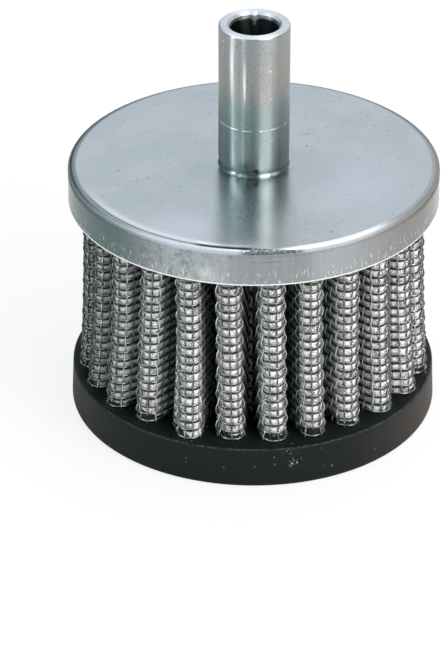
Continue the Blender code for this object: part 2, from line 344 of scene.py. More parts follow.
class Site:
    """The place that is shaded, with its measures."""

    def __init__(self, board: Board) -> None:
        """Read the place, its axes, its distance from the filter's axis and how far it faces up.

        Args:
            board: The material's board.
        """
        self.board, self.place = board, board.place()
        self.x, self.y, self.z = board.parts(self.place)
        self.radius = board.math("SQRT", self.x * self.x + self.y * self.y)
        self.upward = board.parts(board.place("Normal"))[2]

    def full(self, *masks: Mask) -> Signal | float:
        """Return the product of some masks."""
        return math.prod(mask.on(self) for mask in masks)

    def coat(self, colour: Signal, *coats: Coat) -> Signal:
        """Lay coats over a colour, each over those before it.

        Args:
            colour: The colour.
            coats: The coats, in order.

        Returns:
            The colour with them.
        """
        for coat in coats:
            colour = self.board.mix(self.full(*coat.masks) * coat.share, colour, coat.colour)
        return colour


@dataclass(frozen=True)
class Finish:
    """One material of the filter. Each finish says what goes into its shader's sockets."""

    name: str

    def sockets(self, site: Site) -> dict[str, object]:
        """Return what goes into the shader's sockets."""
        raise NotImplementedError(self.name)

    def material(self) -> bpy.types.Material:
        """Make the material and close it with its shader.

        Returns:
            The material.
        """
        material, board = blank(self.name)
        shader = board.add("ShaderNodeBsdfPrincipled", sockets=self.sockets(Site(board)))
        board.add("ShaderNodeOutputMaterial", sockets={"Surface": shader})
        LOG.info("finish %s: %d nodes", self.name, len(board.tree.nodes))
        return material


class Grain(Enum):
    """Which way the marks of a metal's making run, as a stretch along the axes."""

    DRAWN = (1.0, 1.0, 0.02)
    ROLLED = (0.04, 1.0, 1.0)


DARK: Colour = (0.10, 0.10, 0.10)
# Colour of bare metal in nicks, cuts and the scribed line, and of the painted highlight on the skirt's edge
BARE_AND_HIGHLIGHT: Colour = (0.88, 0.88, 0.87)


@dataclass(frozen=True)
class ZincPlate(Finish):
    """Satin zinc plate on steel, with the marks of drawing, small dark mottles, specks and nicks."""

    colour: Colour = (0.490, 0.535, 0.575)
    warm: Colour = (0.545, 0.560, 0.605)
    roughness: float = 0.25
    turned: float = 0.0
    turned_from: float = 0.25
    nicked: float = 0.0
    mottled: float = 0.14
    # Patches of painted light and shade laid over the plate
    patches: tuple[Coat, ...] = ()
    upright_faces: Fade = Fade(Along.UPWARD, (0.75, 0.35), 0.0)
    drawn: Noise = Noise(0.45 * MM, 2.0, 0.6, Grain.DRAWN.value)
    rolled: Noise = Noise(0.6 * MM, 2.0, 0.6, Grain.ROLLED.value)
    rolled_share: float = 0.16
    line_share: float = 0.45
    line_ground: float = 0.08
    clouds: Noise = Noise(11 * MM, 4.0, 0.65)
    cloud_edge: Span = (0.37, 0.63)
    mottle: Noise = Noise(0.42 * MM, 3.0, 0.6, (1.0, 1.0, 0.7), (0.50, 0.75))
    specks: Coat = Coat(DARK, 0.6, (Noise(0.8 * MM, 0.0, span=(0.82, 0.85)),))
    dashes: Noise = Noise(0.7 * MM, 1.0, stretch=(0.35, 1.0, 1.0), span=(0.69, 0.76))
    dashed_clouds: Span = (0.60, 0.46)
    dash_share: float = 0.4
    nicks: Noise = Noise(1.1 * MM, 0.0, stretch=(0.8, 0.8, 2.6), span=(0.80, 0.84))
    waves: Noise = Noise(3.0 * MM)
    relief: float = 0.010 * MM

    def wear_and_painted_light(self, site: Site, colour: Signal) -> Signal:
        """Add what wear, dirt and painted light leave, which is nothing more on a plain plate."""
        return colour

    def dulled(self, site: Site) -> Signal | float:
        """Return the roughness that handling adds, which is none on a plain plate."""
        return 0.0

    def sockets(self, site: Site) -> dict[str, object]:
        """Lay clouds, draw lines, specks, dashes, nicks and patches of painted light and shade, then wear and
        painted light.

        Args:
            site: The place.

        Returns:
            The shader's sockets.
        """
        board = site.board
        upright = self.upright_faces.on(site)
        lines = (self.drawn.on(site) - 0.5) * upright
        lines = lines + (self.rolled.on(site) - 0.5) * self.rolled_share * (1 - upright)
        cloud = self.clouds.on(site)
        colour = board.mix(cloud.rise(self.cloud_edge), self.colour, self.warm)
        colour = board.mix(lines * self.line_share + self.line_ground, colour, DARK)
        colour = site.coat(colour, Coat(DARK, self.mottled, (self.mottle,)), self.specks)
        dash = self.dashes.on(site) * cloud.rise(self.dashed_clouds) * (1 - upright)
        colour = board.mix(dash * self.dash_share, colour, DARK)
        colour = site.coat(colour, Coat(BARE_AND_HIGHLIGHT, self.nicked, (self.nicks,)), *self.patches)
        uneven = lines * 0.8 + self.waves.on(site) * 0.8
        return {
            "Base Color": self.wear_and_painted_light(site, colour),
            "Roughness": self.roughness + (cloud - 0.5) * 0.08 + lines * 0.12 + self.dulled(site),
            "Metallic": 1.0,
            "Normal": board.bump(uneven, self.relief, 0.6),
            "Anisotropic": self.turned,
            "Anisotropic Rotation": self.turned_from,
        }


# Colours and masks of the cap's coats, among them colours of painted shade, reflection and highlight
# Painted shade on the skirt
SKIRT_SHADE: Colour = (0.12, 0.12, 0.115)
# Warm painted reflection on the right of the skirt and corner
WARM_SIDE: Colour = (0.250, 0.235, 0.225)
# Painted shade on the left of the skirt and corner, also the colour of blotches on the skirt's front left
COOL_SIDE: Colour = (0.095, 0.130, 0.130)
# Colour of the painted highlights round the rim, and of pale specks on the top
HIGHLIGHT_AND_PALE_SPECKS: Colour = (0.95, 0.97, 1.0)
# Colour of dark specks on the top, and of the painted dark reflections round the rim
GRIME_AND_DARK_REFLECTION: Colour = (0.035, 0.045, 0.045)
FRONT = Fade(Along.Y, mm(0.0, -1.0))
FLAT = Fade(Along.Z, above(CAP_TOP, -0.10, -0.02))
WALL = Fade(Along.Z, above(CAP_TOP, -0.35, -0.80))
CORNER = Fade(Along.RADIUS, mm(35.75, 36.1))
SPECKLED = Spot((*mm(-1.0, -21.0), CAP_TOP), mm(13.0, 17.0, 4.0))
BLUR = Noise(0.6 * MM, 3.0, 0.7)
BLOTCHES = Noise(1.5 * MM, 4.0, 0.7, None, (0.48, 0.64))
SHORT_CUTS = Noise(0.32 * MM, 1.0, 0.5, (1.0, 1.0, 0.22), (0.62, 0.72))
SCRATCH = (FRONT, Fade(Along.Z, mm(0.16, 0.04), CAP_TOP - 2.15 * MM), Fade(Along.X, mm(6.5, 3.5), 4.5 * MM))
# Ring of the rim where the painted highlight on its right front lies
ROLLED_RING = Fade(Along.RADIUS, mm(0.65, 0.40), 36.15 * MM)
AT_TUBE = Fade(Along.RADIUS, mm(9.2, 7.8), None, BLUR, -2.0 * MM)


@dataclass(frozen=True)
class CapPlate(ZincPlate):
    """Zinc plate of the drawn cap, with painted shade, reflections and highlights on its skirt, rim and top.
    """

    turn: tuple[Fade, ...] = (
        Fade(Along.Z, above(CAP_TOP, -0.22, -0.42)),
        Fade(Along.Z, above(CAP_TOP, -1.8, -0.9)),
    )
    turn_roughness: float = 0.42
    # Painted shade that darkens the skirt, and more in the middle of its front
    skirt_shade_share: float = 0.37
    middle: Fade = Fade(Along.X, mm(10.5, 6), 3 * MM)
    front_shade_share: float = 0.22
    # Painted reflection and shade on the skirt and corner: warm on the right, darker at the right end and
    # darker teal on the left, then darker teal blotches on the front left
    skirt: tuple[Coat, ...] = (
        Coat(WARM_SIDE, 0.9, (WALL, Fade(Along.X, mm(12, 32)))),
        Coat(SKIRT_SHADE, 0.75, (WALL, Fade(Along.X, mm(25, 36)))),
        Coat(COOL_SIDE, 0.95, (WALL, Fade(Along.X, mm(-15, -31)))),
        Coat(COOL_SIDE, 0.6, (CORNER, Fade(Along.X, mm(-16, -28)))),
        Coat(WARM_SIDE, 0.5, (CORNER, Fade(Along.X, mm(19, 30)))),
        Coat(COOL_SIDE, 0.5, (WALL, FRONT, Fade(Along.X, mm(2, -16)), BLOTCHES)),
    )
    strong: Fade = Fade(Along.X, mm(6.4, 4.4), -6.0 * MM)
    # Painted highlights inside the rim on its left front: a paler band near it and a brighter ring
    near: tuple[Fade, ...] = (Fade(Along.RADIUS, mm(33.2, 35.0)), Fade(Along.X, mm(5, -6)))
    near_share: float = 0.27
    bright: tuple[Fade, ...] = (Fade(Along.RADIUS, mm(0.55, 0.25), 34.9 * MM), Fade(Along.X, mm(6, 2)))
    highlight_at: tuple[Fade, ...] = (FLAT, Fade(Along.Y, mm(-8, -24)))
    # A painted highlight on the rim's right front, a teal tint round the tube's front, and dark and pale
    # specks
    highlight_and_stains: tuple[Coat, ...] = (
        Coat(HIGHLIGHT_AND_PALE_SPECKS, 0.9, (FRONT, ROLLED_RING, Fade(Along.X, mm(12, 7), 15 * MM))),
        Coat((0.20, 0.31, 0.31), 0.7, (AT_TUBE, Fade(Along.Y, mm(-2, -6)))),
        Coat(GRIME_AND_DARK_REFLECTION, 0.55, (SPECKLED, Noise(0.35 * MM, 2.0, 0.6, None, (0.54, 0.68)))),
        Coat(HIGHLIGHT_AND_PALE_SPECKS, 0.25, (SPECKLED, Noise(0.35 * MM, 2.0, 0.6, None, (0.44, 0.32)))),
    )
    # Painted dark reflection inside the rim, as a broken line
    line_radius: float = 35.92 * MM
    line_growth: float = 0.14 * MM
    line_fades: Span = mm(0.34, 0.12)
    line_at: tuple[Fade, ...] = (FLAT, Fade(Along.X, mm(-0.5, -2)), Fade(Along.Y, mm(-8, -20)))
    line_broken: Span = (0.20, 0.40)
    # Painted dark reflection on the rim's front, as a broken band
    band_tilt: float = 0.13
    band_radius: Span = mm(35.6, 35.9)
    band_at: tuple[Fade, ...] = (
        FRONT,
        Fade(Along.Z, above(CAP_TOP, -0.70, -0.52)),
        Fade(Along.X, mm(7.0, 4.6), 3.2 * MM),
    )
    band_broken: Span = (0.28, 0.52)
    band_share: float = 0.85
    marks: tuple[Coat, ...] = (
        Coat(DARK, 0.7, (*SCRATCH, Noise(2.2 * MM, 3.0, 0.7, None, (0.46, 0.58)))),
        Coat(BARE_AND_HIGHLIGHT, 0.55, (SHORT_CUTS, Fade(Along.Z, above(SKIRT_BOTTOM, 4.2, 1.8)))),
        # Painted highlight along the skirt's lower edge
        Coat(BARE_AND_HIGHLIGHT, 1.0, (Fade(Along.Z, above(SKIRT_BOTTOM, 0.42, 0.30)),)),
    )

    def dulled(self, site: Site) -> Signal | float:
        """Return the roughness that handling adds where the corner turns into the skirt."""
        return site.full(*self.turn) * self.turn_roughness

    def wear_and_painted_light(self, site: Site, colour: Signal) -> Signal:
        """Paint shade and reflections on the skirt, light and dark round the rim, a teal tint and specks on
        the top, then scratch and cut the skirt and paint a highlight along its edge.

        Args:
            site: The place.
            colour: The plate's colour.

        Returns:
            The colour with them.
        """
        # Painted shade on the skirt, darker in the middle of its front
        wear_and_shade = self.skirt_shade_share + site.full(self.middle, FRONT) * self.front_shade_share
        colour = site.board.mix(site.full(WALL) * wear_and_shade, colour, SKIRT_SHADE)
        colour = site.coat(colour, *self.skirt)
        # Painted highlight inside the rim, on the flat top's front
        ring = site.full(*self.bright) * (self.strong.on(site) * 0.6 + 0.2)
        ring = (site.full(*self.near) * self.near_share + ring) * site.full(*self.highlight_at)
        colour = site.coat(site.board.mix(ring, colour, HIGHLIGHT_AND_PALE_SPECKS), *self.highlight_and_stains)
        colour = self.dark_rim_reflections(site, colour)
        return site.coat(colour, *self.marks)

    def dark_rim_reflections(self, site: Site, colour: Signal) -> Signal:
        """Paint the dark reflections round the rim: a broken line inside it and a broken band on its front.

        Args:
            site: The place.
            colour: The colour so far.

        Returns:
            The colour with the grime.
        """
        blurred, strong = BLUR.on(site), self.strong.on(site)
        line = (abs(site.radius - self.line_radius) - strong * self.line_growth).rise(self.line_fades)
        line = line * site.full(*self.line_at) * (strong * 0.35 + 0.65) * blurred.rise(self.line_broken)
        colour = site.board.mix(line, colour, GRIME_AND_DARK_REFLECTION)
        band = (site.radius - site.x * self.band_tilt).rise(self.band_radius) * site.full(*self.band_at)
        return site.board.mix(band * blurred.rise(self.band_broken) * self.band_share, colour, GRIME_AND_DARK_REFLECTION)


# Colour of the painted highlight on the rim and in the mouth, and mask of the bore, that several of the
# tube's coats share
RIM: Colour = (0.73, 0.75, 0.81)
BORE = Fade(Along.RADIUS, above(BORE_RADIUS, 0.12, 0.03))


@dataclass(frozen=True)
class TubePlate(ZincPlate):
    """Zinc plate of the tube: painted highlights on its rim, mouth and foot, a dark teal foot, and painted
    shade down its bore but not on the weld's bead.
    """

    outside: tuple[Coat, ...] = (
        # Painted highlight on the upward faces of the rim
        Coat(RIM, 1.0, (Fade(Along.UPWARD, (0.3, 0.8)), Fade(Along.Z, above(TUBE_TOP, -1, -0.5)))),
        Coat((0.225, 0.305, 0.305), 0.7, (Fade(Along.Z, mm(73, 68), None, Noise(2.0 * MM), 4.0 * MM),)),
        Coat(BARE_AND_HIGHLIGHT, 0.7, (Fade(Along.Z, mm(0.18, 0.06), SCRIBED_HEIGHT), Noise(0.9 * MM, span=(0.42, 0.58)))),
    )
    smudge: Coat = Coat(
        (0.050, 0.070, 0.070),
        0.75,
        (Spot(mm(-1.6, -6.8, 56.0), mm(2.6, 1.6, 3.0)), Noise(0.6 * MM, span=(0.25, 0.50))),
    )
    rust: Coat = Coat(
        (0.105, 0.062, 0.040),
        1.0,
        (
            Spot(mm(0.3, -6.8, 55.2), mm(1.1, 1.0, 1.0), span=(0.05, 0.40)),
            Noise(0.45 * MM, span=(0.38, 0.50)),
        ),
    )
    # The foot's fillet is dark teal, broken near its front and back by a painted highlight
    welded: Colour = (0.12, 0.18, 0.18)
    foot_highlight: Colour = (0.66, 0.76, 0.78)
    foot_highlight_at: tuple[Mask, ...] = (Noise(2.0 * MM, span=(0.40, 0.64)), Fade(Along.X, mm(5.6, 4.2), 0.0))
    foot: Fade = Fade(Along.Z, above(CAP_TOP, 0.62, 0.42))
    # Painted highlight inside the bore's mouth
    mouth: Coat = Coat(RIM, 1.0, (BORE, Fade(Along.Z, above(TUBE_TOP, -2, -1))))
    # Painted shade down the bore, which leaves the weld's bead out
    bore_shade: Colour = (0.045, 0.070, 0.064)
    deep: tuple[Fade, ...] = (
        BORE,
        Fade(Along.Z, above(TUBE_TOP, -1.1, -1.5), None, Noise(2.0 * MM), 1.8 * MM),
    )
    bead: tuple[Fade, ...] = (
        Fade(Along.RADIUS, above(BORE_RADIUS, -0.12, -0.26)),
        Fade(Along.Z, above(TUBE_TOP, -2.8, -2.2)),
    )

    def wear_and_painted_light(self, site: Site, colour: Signal) -> Signal:
        """Lay the outside's coats, smudge and rust, paint the foot dark teal with a highlight, and paint
        shade down the bore apart from its weld's bead.

        Args:
            site: The place.
            colour: The plate's colour.

        Returns:
            The colour with them.
        """
        colour = site.coat(colour, *self.outside, self.smudge, self.rust)
        # Painted highlight across the dark teal foot
        weld = site.board.mix(site.full(*self.foot_highlight_at), self.welded, self.foot_highlight)
        colour = site.coat(site.board.mix(self.foot.on(site), colour, weld), self.mouth)
        # Painted shade down the bore, apart from the weld's bead
        return site.board.mix(site.full(*self.deep) * (1 - site.full(*self.bead)), colour, self.bore_shade)


@dataclass(frozen=True)
class MeshWire(Finish):
    """Bright steel wire with painted light and shade, blackened where it is bedded.

    The pattern map's first number is the distance from the nearest pleat's nose along the strip. On the
    nose the wire's top is front and the rest side. Away from it they are bright and edge. Upward faces take
    the lighter front or bright as painted light, bright and edge off the noses are painted highlights, and
    the undersides, the folds and the left of the pack take painted shade.
    """

    front: Colour
    side: Colour
    bright: Colour = (0.93, 0.94, 0.93)
    edge: Colour = (0.62, 0.63, 0.62)
    # Painted shade deep in the folds
    fold_shade: Coat = Coat((0.095, 0.107, 0.102), 0.85, (Fade(Along.RADIUS, mm(34.2, 30.2)),))
    shaded: Colour = (0.014, 0.017, 0.016)
    coating: Colour = (0.012, 0.014, 0.014)
    roughness: float = 0.30
    faces_down: Span = (0.05, -0.60)
    faces_up: Span = (0.30, 0.85)
    off_nose: Span = mm(1.6, 3.0)
    # Noise that varies the painted shade underneath, the roughness and the height of the bedded line
    grime: Noise = Noise(1.6 * MM, 3.0)
    bedded: Span = mm(8.9, 8.5)
    bedded_shift: float = 3.0 * MM

    def sockets(self, site: Site) -> dict[str, object]:
        """Work out the colour, as painted light and shade, from height, radius and the way the surface faces.

        Args:
            site: The place.

        Returns:
            The shader's sockets.
        """
        board, grime = site.board, self.grime.on(site)
        aside = board.parts(board.place("UV"))[0].rise(self.off_nose)
        # Painted light: upward faces take the lighter colours, and off the noses the painted highlights
        low = board.mix(aside, self.side, self.edge)
        high = board.mix(aside, self.front, self.bright)
        colour = board.mix(site.upward.rise(self.faces_up), low, high)
        # Painted shade on downward faces, then in the folds
        under = site.upward.rise(self.faces_down) * (0.80 + grime * 0.4)
        colour = board.mix(under, site.coat(colour, self.fold_shade), self.shaded)
        # Painted shade on the left of the pack
        colour = site.coat(colour, Coat(self.shaded, SHADED_SHARE, (SHADED_SIDE,)))
        wet = (site.z + (grime - 0.5) * self.bedded_shift).rise(self.bedded)
        return {
            "Base Color": board.mix(wet, colour, self.coating),
            "Roughness": self.roughness + grime * 0.12,
            "Metallic": 1 - wet,
        }


@dataclass(frozen=True)
class CottonGauze(Finish):
    """Grey-white cotton gauze: thread bumps by its own map, painted shade in the folds and under the wires,
    black at the foot.
    """

    name: str = "cotton_gauze_finish"
    cotton: Colour = (0.94, 0.92, 0.915)
    grey: Colour = (0.26, 0.285, 0.275)
    # Colour of the dark gaps between threads and of the painted shade in the folds
    thread_gap_and_fold_shade: Colour = (0.28, 0.32, 0.305)
    # Colour of the painted shadow lines under the wires and of the painted shade on the left
    line: Colour = (0.010, 0.012, 0.011)
    line_share: float = 0.95
    coating: Colour = (0.010, 0.012, 0.012)
    thread: float = 0.42 * MM
    thread_share: float = 0.30
    mottle: Noise = Noise(1.1 * MM, 3.0)
    folds: Span = mm(34.0, 28.0)
    folds_shift: float = 1.5 * MM
    line_low: Span = (0.56, 0.66)
    line_high: Span = (0.97, 0.90)
    cells: Noise = Noise(1.0, 0.0, stretch=(1 / (1.6 * MM), 1 / ROW_PITCH, 1.0))
    fibres: Noise = Noise(0.30 * MM, 3.0)
    fibre_share: float = 2.2
    greyed: Span = (0.44, 0.70)
    soak: Noise = Noise(5 * MM)
    soaked: Span = mm(10.4, 9.8)
    soak_shift: float = 6.0 * MM
    relief: float = 0.04 * MM

    def sockets(self, site: Site) -> dict[str, object]:
        """Weave the threads, paint shadow lines under the wires, paint shade in the depth and on the left,
        and soak the foot.

        Args:
            site: The place.

        Returns:
            The shader's sockets.
        """
        board = site.board
        pattern = board.place("UV")
        along, up, _ = board.parts(pattern)
        turn = 2 * math.pi / self.thread
        cloth = board.math("SINE", along * turn) * board.math("SINE", up * turn) * 0.5 + 0.5
        fibres = (self.fibres.on(site) - 0.5) * self.fibre_share
        tone = (board.noise(pattern, self.cells) + fibres).rise(self.greyed)
        colour = board.mix(tone, self.cotton, self.grey)
        colour = board.mix((1 - cloth) * self.thread_share, colour, self.thread_gap_and_fold_shade)
        uneven = (self.mottle.on(site) - 0.5) * self.folds_shift
        # Painted shade deeper in the folds
        colour = board.mix((site.radius + uneven).rise(self.folds), colour, self.thread_gap_and_fold_shade)
        # Painted shadow just below each row of crosswise wire
        row = board.math("FRACT", (up - (FIRST_ROW - ROW_PITCH)) / ROW_PITCH)
        wire_shadow = row.rise(self.line_low) * row.rise(self.line_high) * self.line_share
        colour = board.mix(wire_shadow, colour, self.line)
        # Painted shade on the left of the pack
        colour = site.coat(colour, Coat(self.line, SHADED_SHARE, (SHADED_SIDE,)))
        uneven = uneven + (self.soak.on(site) - 0.5) * self.soak_shift
        wet = (site.z + uneven).rise(self.soaked)
        return {
            "Base Color": board.mix(wet, colour, self.coating),
            "Roughness": 0.95 - wet * 0.65,
            "Normal": board.bump(cloth, self.relief, 0.6),
            "Specular IOR Level": 0.3,
        }


@dataclass(frozen=True)
class CastRubber(Finish):
    """Black cast base: satin wall with fine grain, scuffs and specks, painted light on its sides and upper
    edge, and a glossier poured top.
    """

    name: str = "base_rubber_finish"
    black: Colour = (0.0062, 0.0094, 0.0094)
    # Warm painted reflection on the wall's sides
    side_reflection: Colour = (0.029, 0.022, 0.0195)
    scuff: Colour = (0.38, 0.39, 0.38)
    # Painted highlight along the wall's upper edge
    edge_highlight: Colour = (0.045, 0.052, 0.050)
    scuffs: tuple[Spot, ...] = (
        Spot(mm(8.2, -36.6, 5.6), mm(1.9, 1.5, 2.2)),
        Spot(mm(7.0, -36.8, 7.9), mm(1.9, 1.5, 1.3), 0.35),
        Spot(mm(14.2, -34.8, 3.1), mm(0.5, 0.8, 0.4)),
        Spot(mm(-13.6, -35.0, 4.2), mm(0.5, 0.8, 0.4)),
        Spot(mm(0.0, -37.5, 4.9), mm(0.4, 0.8, 0.4), 0.6),
    )
    scuff_broken: Noise = Noise(0.5 * MM, 1.0, span=(0.59, 0.68))
    grain: Noise = Noise(0.35 * MM)
    clouds: Noise = Noise(7 * MM, 3.0)
    specks: Noise = Noise(0.8 * MM, 0.0, span=(0.85, 0.88))
    speck_share: float = 0.4
    poured_faces: Span = (0.4, 0.8)
    edge_heights: Span = above(BASE_TOP, -0.30, -0.12)
    edge_radius: Span = mm(36.8, 37.0)
    edge_broken: Span = (0.42, 0.62)
    # Where the painted reflection lies on the sides, and its share
    side_reflection_spans: tuple[tuple[Span, float], ...] = ((mm(16, 37), 0.9), (mm(-24, -38), 0.4))
    roughness: float = 0.46
    relief: float = 0.02 * MM

    def sockets(self, site: Site) -> dict[str, object]:
        """Paint a warm reflection on the wall's sides and a highlight along its upper edge, and scuff it.

        Args:
            site: The place.

        Returns:
            The shader's sockets.
        """
        board, grain = site.board, self.grain.on(site)
        poured = site.upward.rise(self.poured_faces)
        # Scuffs and specks, which wear leaves
        wear_and_shade = self.specks.on(site) * self.speck_share
        for scuff in self.scuffs:
            wear_and_shade = board.math("MAXIMUM", wear_and_shade, site.full(scuff, self.scuff_broken))
        # Painted reflection on the sides, stronger on the right
        flank = sum(site.x.rise(span) * share for span, share in self.side_reflection_spans)
        colour = board.mix(flank * (1 - poured), self.black, self.side_reflection)
        # Painted highlight along the upper edge, broken by the grain
        edge = site.z.rise(self.edge_heights) * site.radius.rise(self.edge_radius)
        colour = board.mix(edge * grain.rise(self.edge_broken), colour, self.edge_highlight)
        uneven = (self.clouds.on(site) - 0.5) * 0.12
        return {
            "Base Color": board.mix(wear_and_shade, colour, self.scuff),
            "Roughness": self.roughness + uneven + poured * 0.10 + wear_and_shade * 0.2,
            "Normal": board.bump(grain + wear_and_shade, self.relief, 0.35),
            "Specular IOR Level": 0.12,
        }


@dataclass(frozen=True)
class FineScreen(Finish):
    """Finer supporting mesh, drawn on its wall as crossing wires."""

    name: str = "inner_screen_finish"
    wire: Colour = (0.42, 0.43, 0.42)
    gap: Colour = (0.05, 0.055, 0.05)
    pitch: float = 0.9 * MM
    radius: float = 26 * MM
    open_from: Span = (0.35, 0.6)
    grime: Noise = Noise(2.2 * MM, 3.0)
    relief: float = 0.15 * MM

    def sockets(self, site: Site) -> dict[str, object]:
        """Draw rows by height and wires across them by angle, with grime over both.

        Args:
            site: The place.

        Returns:
            The shader's sockets.
        """
        board = site.board
        turn = board.math("ARCTAN2", site.y, site.x)
        rows = abs(board.math("SINE", site.z * (math.pi / self.pitch)))
        ups = abs(board.math("SINE", turn * (math.pi * self.radius / self.pitch)))
        gaps = board.math("MINIMUM", rows, ups).rise(self.open_from)
        grime = self.grime.on(site)
        colour = board.mix(gaps, self.wire, self.gap)
        return {
            "Base Color": board.mix(grime * 0.4, colour, self.gap),
            "Roughness": 0.35 + grime * 0.2,
            "Metallic": 1 - gaps * 0.8,
            "Normal": board.bump(1 - gaps, self.relief, 0.6),
        }


@dataclass(frozen=True)
class TinStrip(Finish):
    """Tinned strip of the seam clip, with lengthwise rolling marks."""

    name: str = "clip_tin_finish"
    colour: Colour = (0.50, 0.51, 0.52)
    dark: Colour = (0.22, 0.22, 0.22)
    marks: Noise = Noise(0.3 * MM, stretch=(1.0, 1.0, 0.03))
    clouds: Noise = Noise(5 * MM, 3.0)
    relief: float = 0.01 * MM

    def sockets(self, site: Site) -> dict[str, object]:
        """Run rolling marks along the strip's height, over a soft cloud.

        Args:
            site: The place.

        Returns:
            The shader's sockets.
        """
        marks = self.marks.on(site)
        cloud = self.clouds.on(site)
        return {
            "Base Color": site.board.mix(marks * 0.4 + cloud * 0.2, self.colour, self.dark),
            "Roughness": 0.30 + cloud * 0.2,
            "Metallic": 1.0,
            "Normal": site.board.bump(marks, self.relief, 0.5),
        }


@dataclass(frozen=True)
class SealingCompound(Finish):
    """Black compound poured in the cap: glossy, with a soft uneven skin."""

    name: str = "sealing_compound_finish"
    black: Colour = (0.016, 0.016, 0.018)
    dusty: Colour = (0.05, 0.05, 0.048)
    dust: Noise = Noise(0.7 * MM, 3.0)
    dusted: Span = (0.55, 0.8)
    skin: Noise = Noise(4 * MM)
    relief: float = 0.3 * MM

    def sockets(self, site: Site) -> dict[str, object]:
        """Dust a glossy skin a little.

        Args:
            site: The place.

        Returns:
            The shader's sockets.
        """
        dust = self.dust.on(site)
        return {
            "Base Color": site.board.mix(dust.rise(self.dusted), self.black, self.dusty),
            "Roughness": 0.3 + dust * 0.2,
            "Normal": site.board.bump(self.skin.on(site), self.relief, 0.4),
        }


@dataclass
class Surface:
    """Points of a piece in metres, the faces that join them and, if it has one, its pattern map."""

    points: Array
    quads: Array
    caps: list[list[int]] = field(default_factory=list)
    pattern: Array | None = None

    def triangles(self) -> int:
        """Return the number of triangles that the faces make."""
        return 2 * len(self.quads) + sum(len(cap) - 2 for cap in self.caps)


def grid_quads(rows: int, columns: int, joined: bool) -> Array:
    """Join a grid of points, numbered row by row, with quads.

    Args:
        rows: Number of rows.
        columns: Number of points in a row.
        joined: Whether a row's last point is joined to its first.

    Returns:
        Four point numbers for each quad, anticlockwise where rows rise and columns run to the right.
    """
    row = np.arange(rows - 1)[:, None]
    column = np.arange(columns if joined else columns - 1)[None, :]
    beside = (column + 1) % columns
    left, right = row * columns + column, row * columns + beside
    return np.stack([left, right, right + columns, left + columns], axis=-1).reshape(-1, 4)


def plan(angle: Array, along: Array, across: Array | float = 0.0) -> tuple[Array, Array]:
    """Return plan coordinates from lengths along and across a direction at an angle from -Y.

    Args:
        angle: Direction from -Y, growing towards +X, in radians.
        along: Length along the direction.
        across: Length square to it, on the side of growing angles.

    Returns:
        X and Y.
    """
    x = along * np.sin(angle) + across * np.cos(angle)
    y = across * np.sin(angle) - along * np.cos(angle)
    return x, y


def add_piece(
    name: str, surface: Surface, material: bpy.types.Material, nodes: tuple[str, ...]
) -> bpy.types.Object:
    """Put a surface into the scene as a piece of the filter.

    Args:
        name: The piece's name.
        surface: Its surface.
        material: Its finish.
        nodes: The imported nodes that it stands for.

    Returns:
        The piece.
    """
    mesh = bpy.data.meshes.new(name)
    mesh.from_pydata(surface.points.tolist(), [], surface.quads.tolist() + surface.caps)
    if surface.pattern is not None:
        corners = np.zeros(len(mesh.loops), np.int32)
        mesh.loops.foreach_get("vertex_index", corners)
        layer = mesh.uv_layers.new(name="pattern")
        layer.data.foreach_set("uv", surface.pattern[corners].astype(np.float32).ravel())
    mesh.materials.append(material)
    mesh.shade_smooth()
    mesh.set_sharp_from_angle(angle=SHARP_LIMIT)
    piece = bpy.data.objects.new(name, mesh)
    bpy.context.scene.collection.objects.link(piece)
    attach(piece, BODY)
    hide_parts(*nodes)
    LOG.info("piece %s: %d triangles", name, surface.triangles())
    return piece


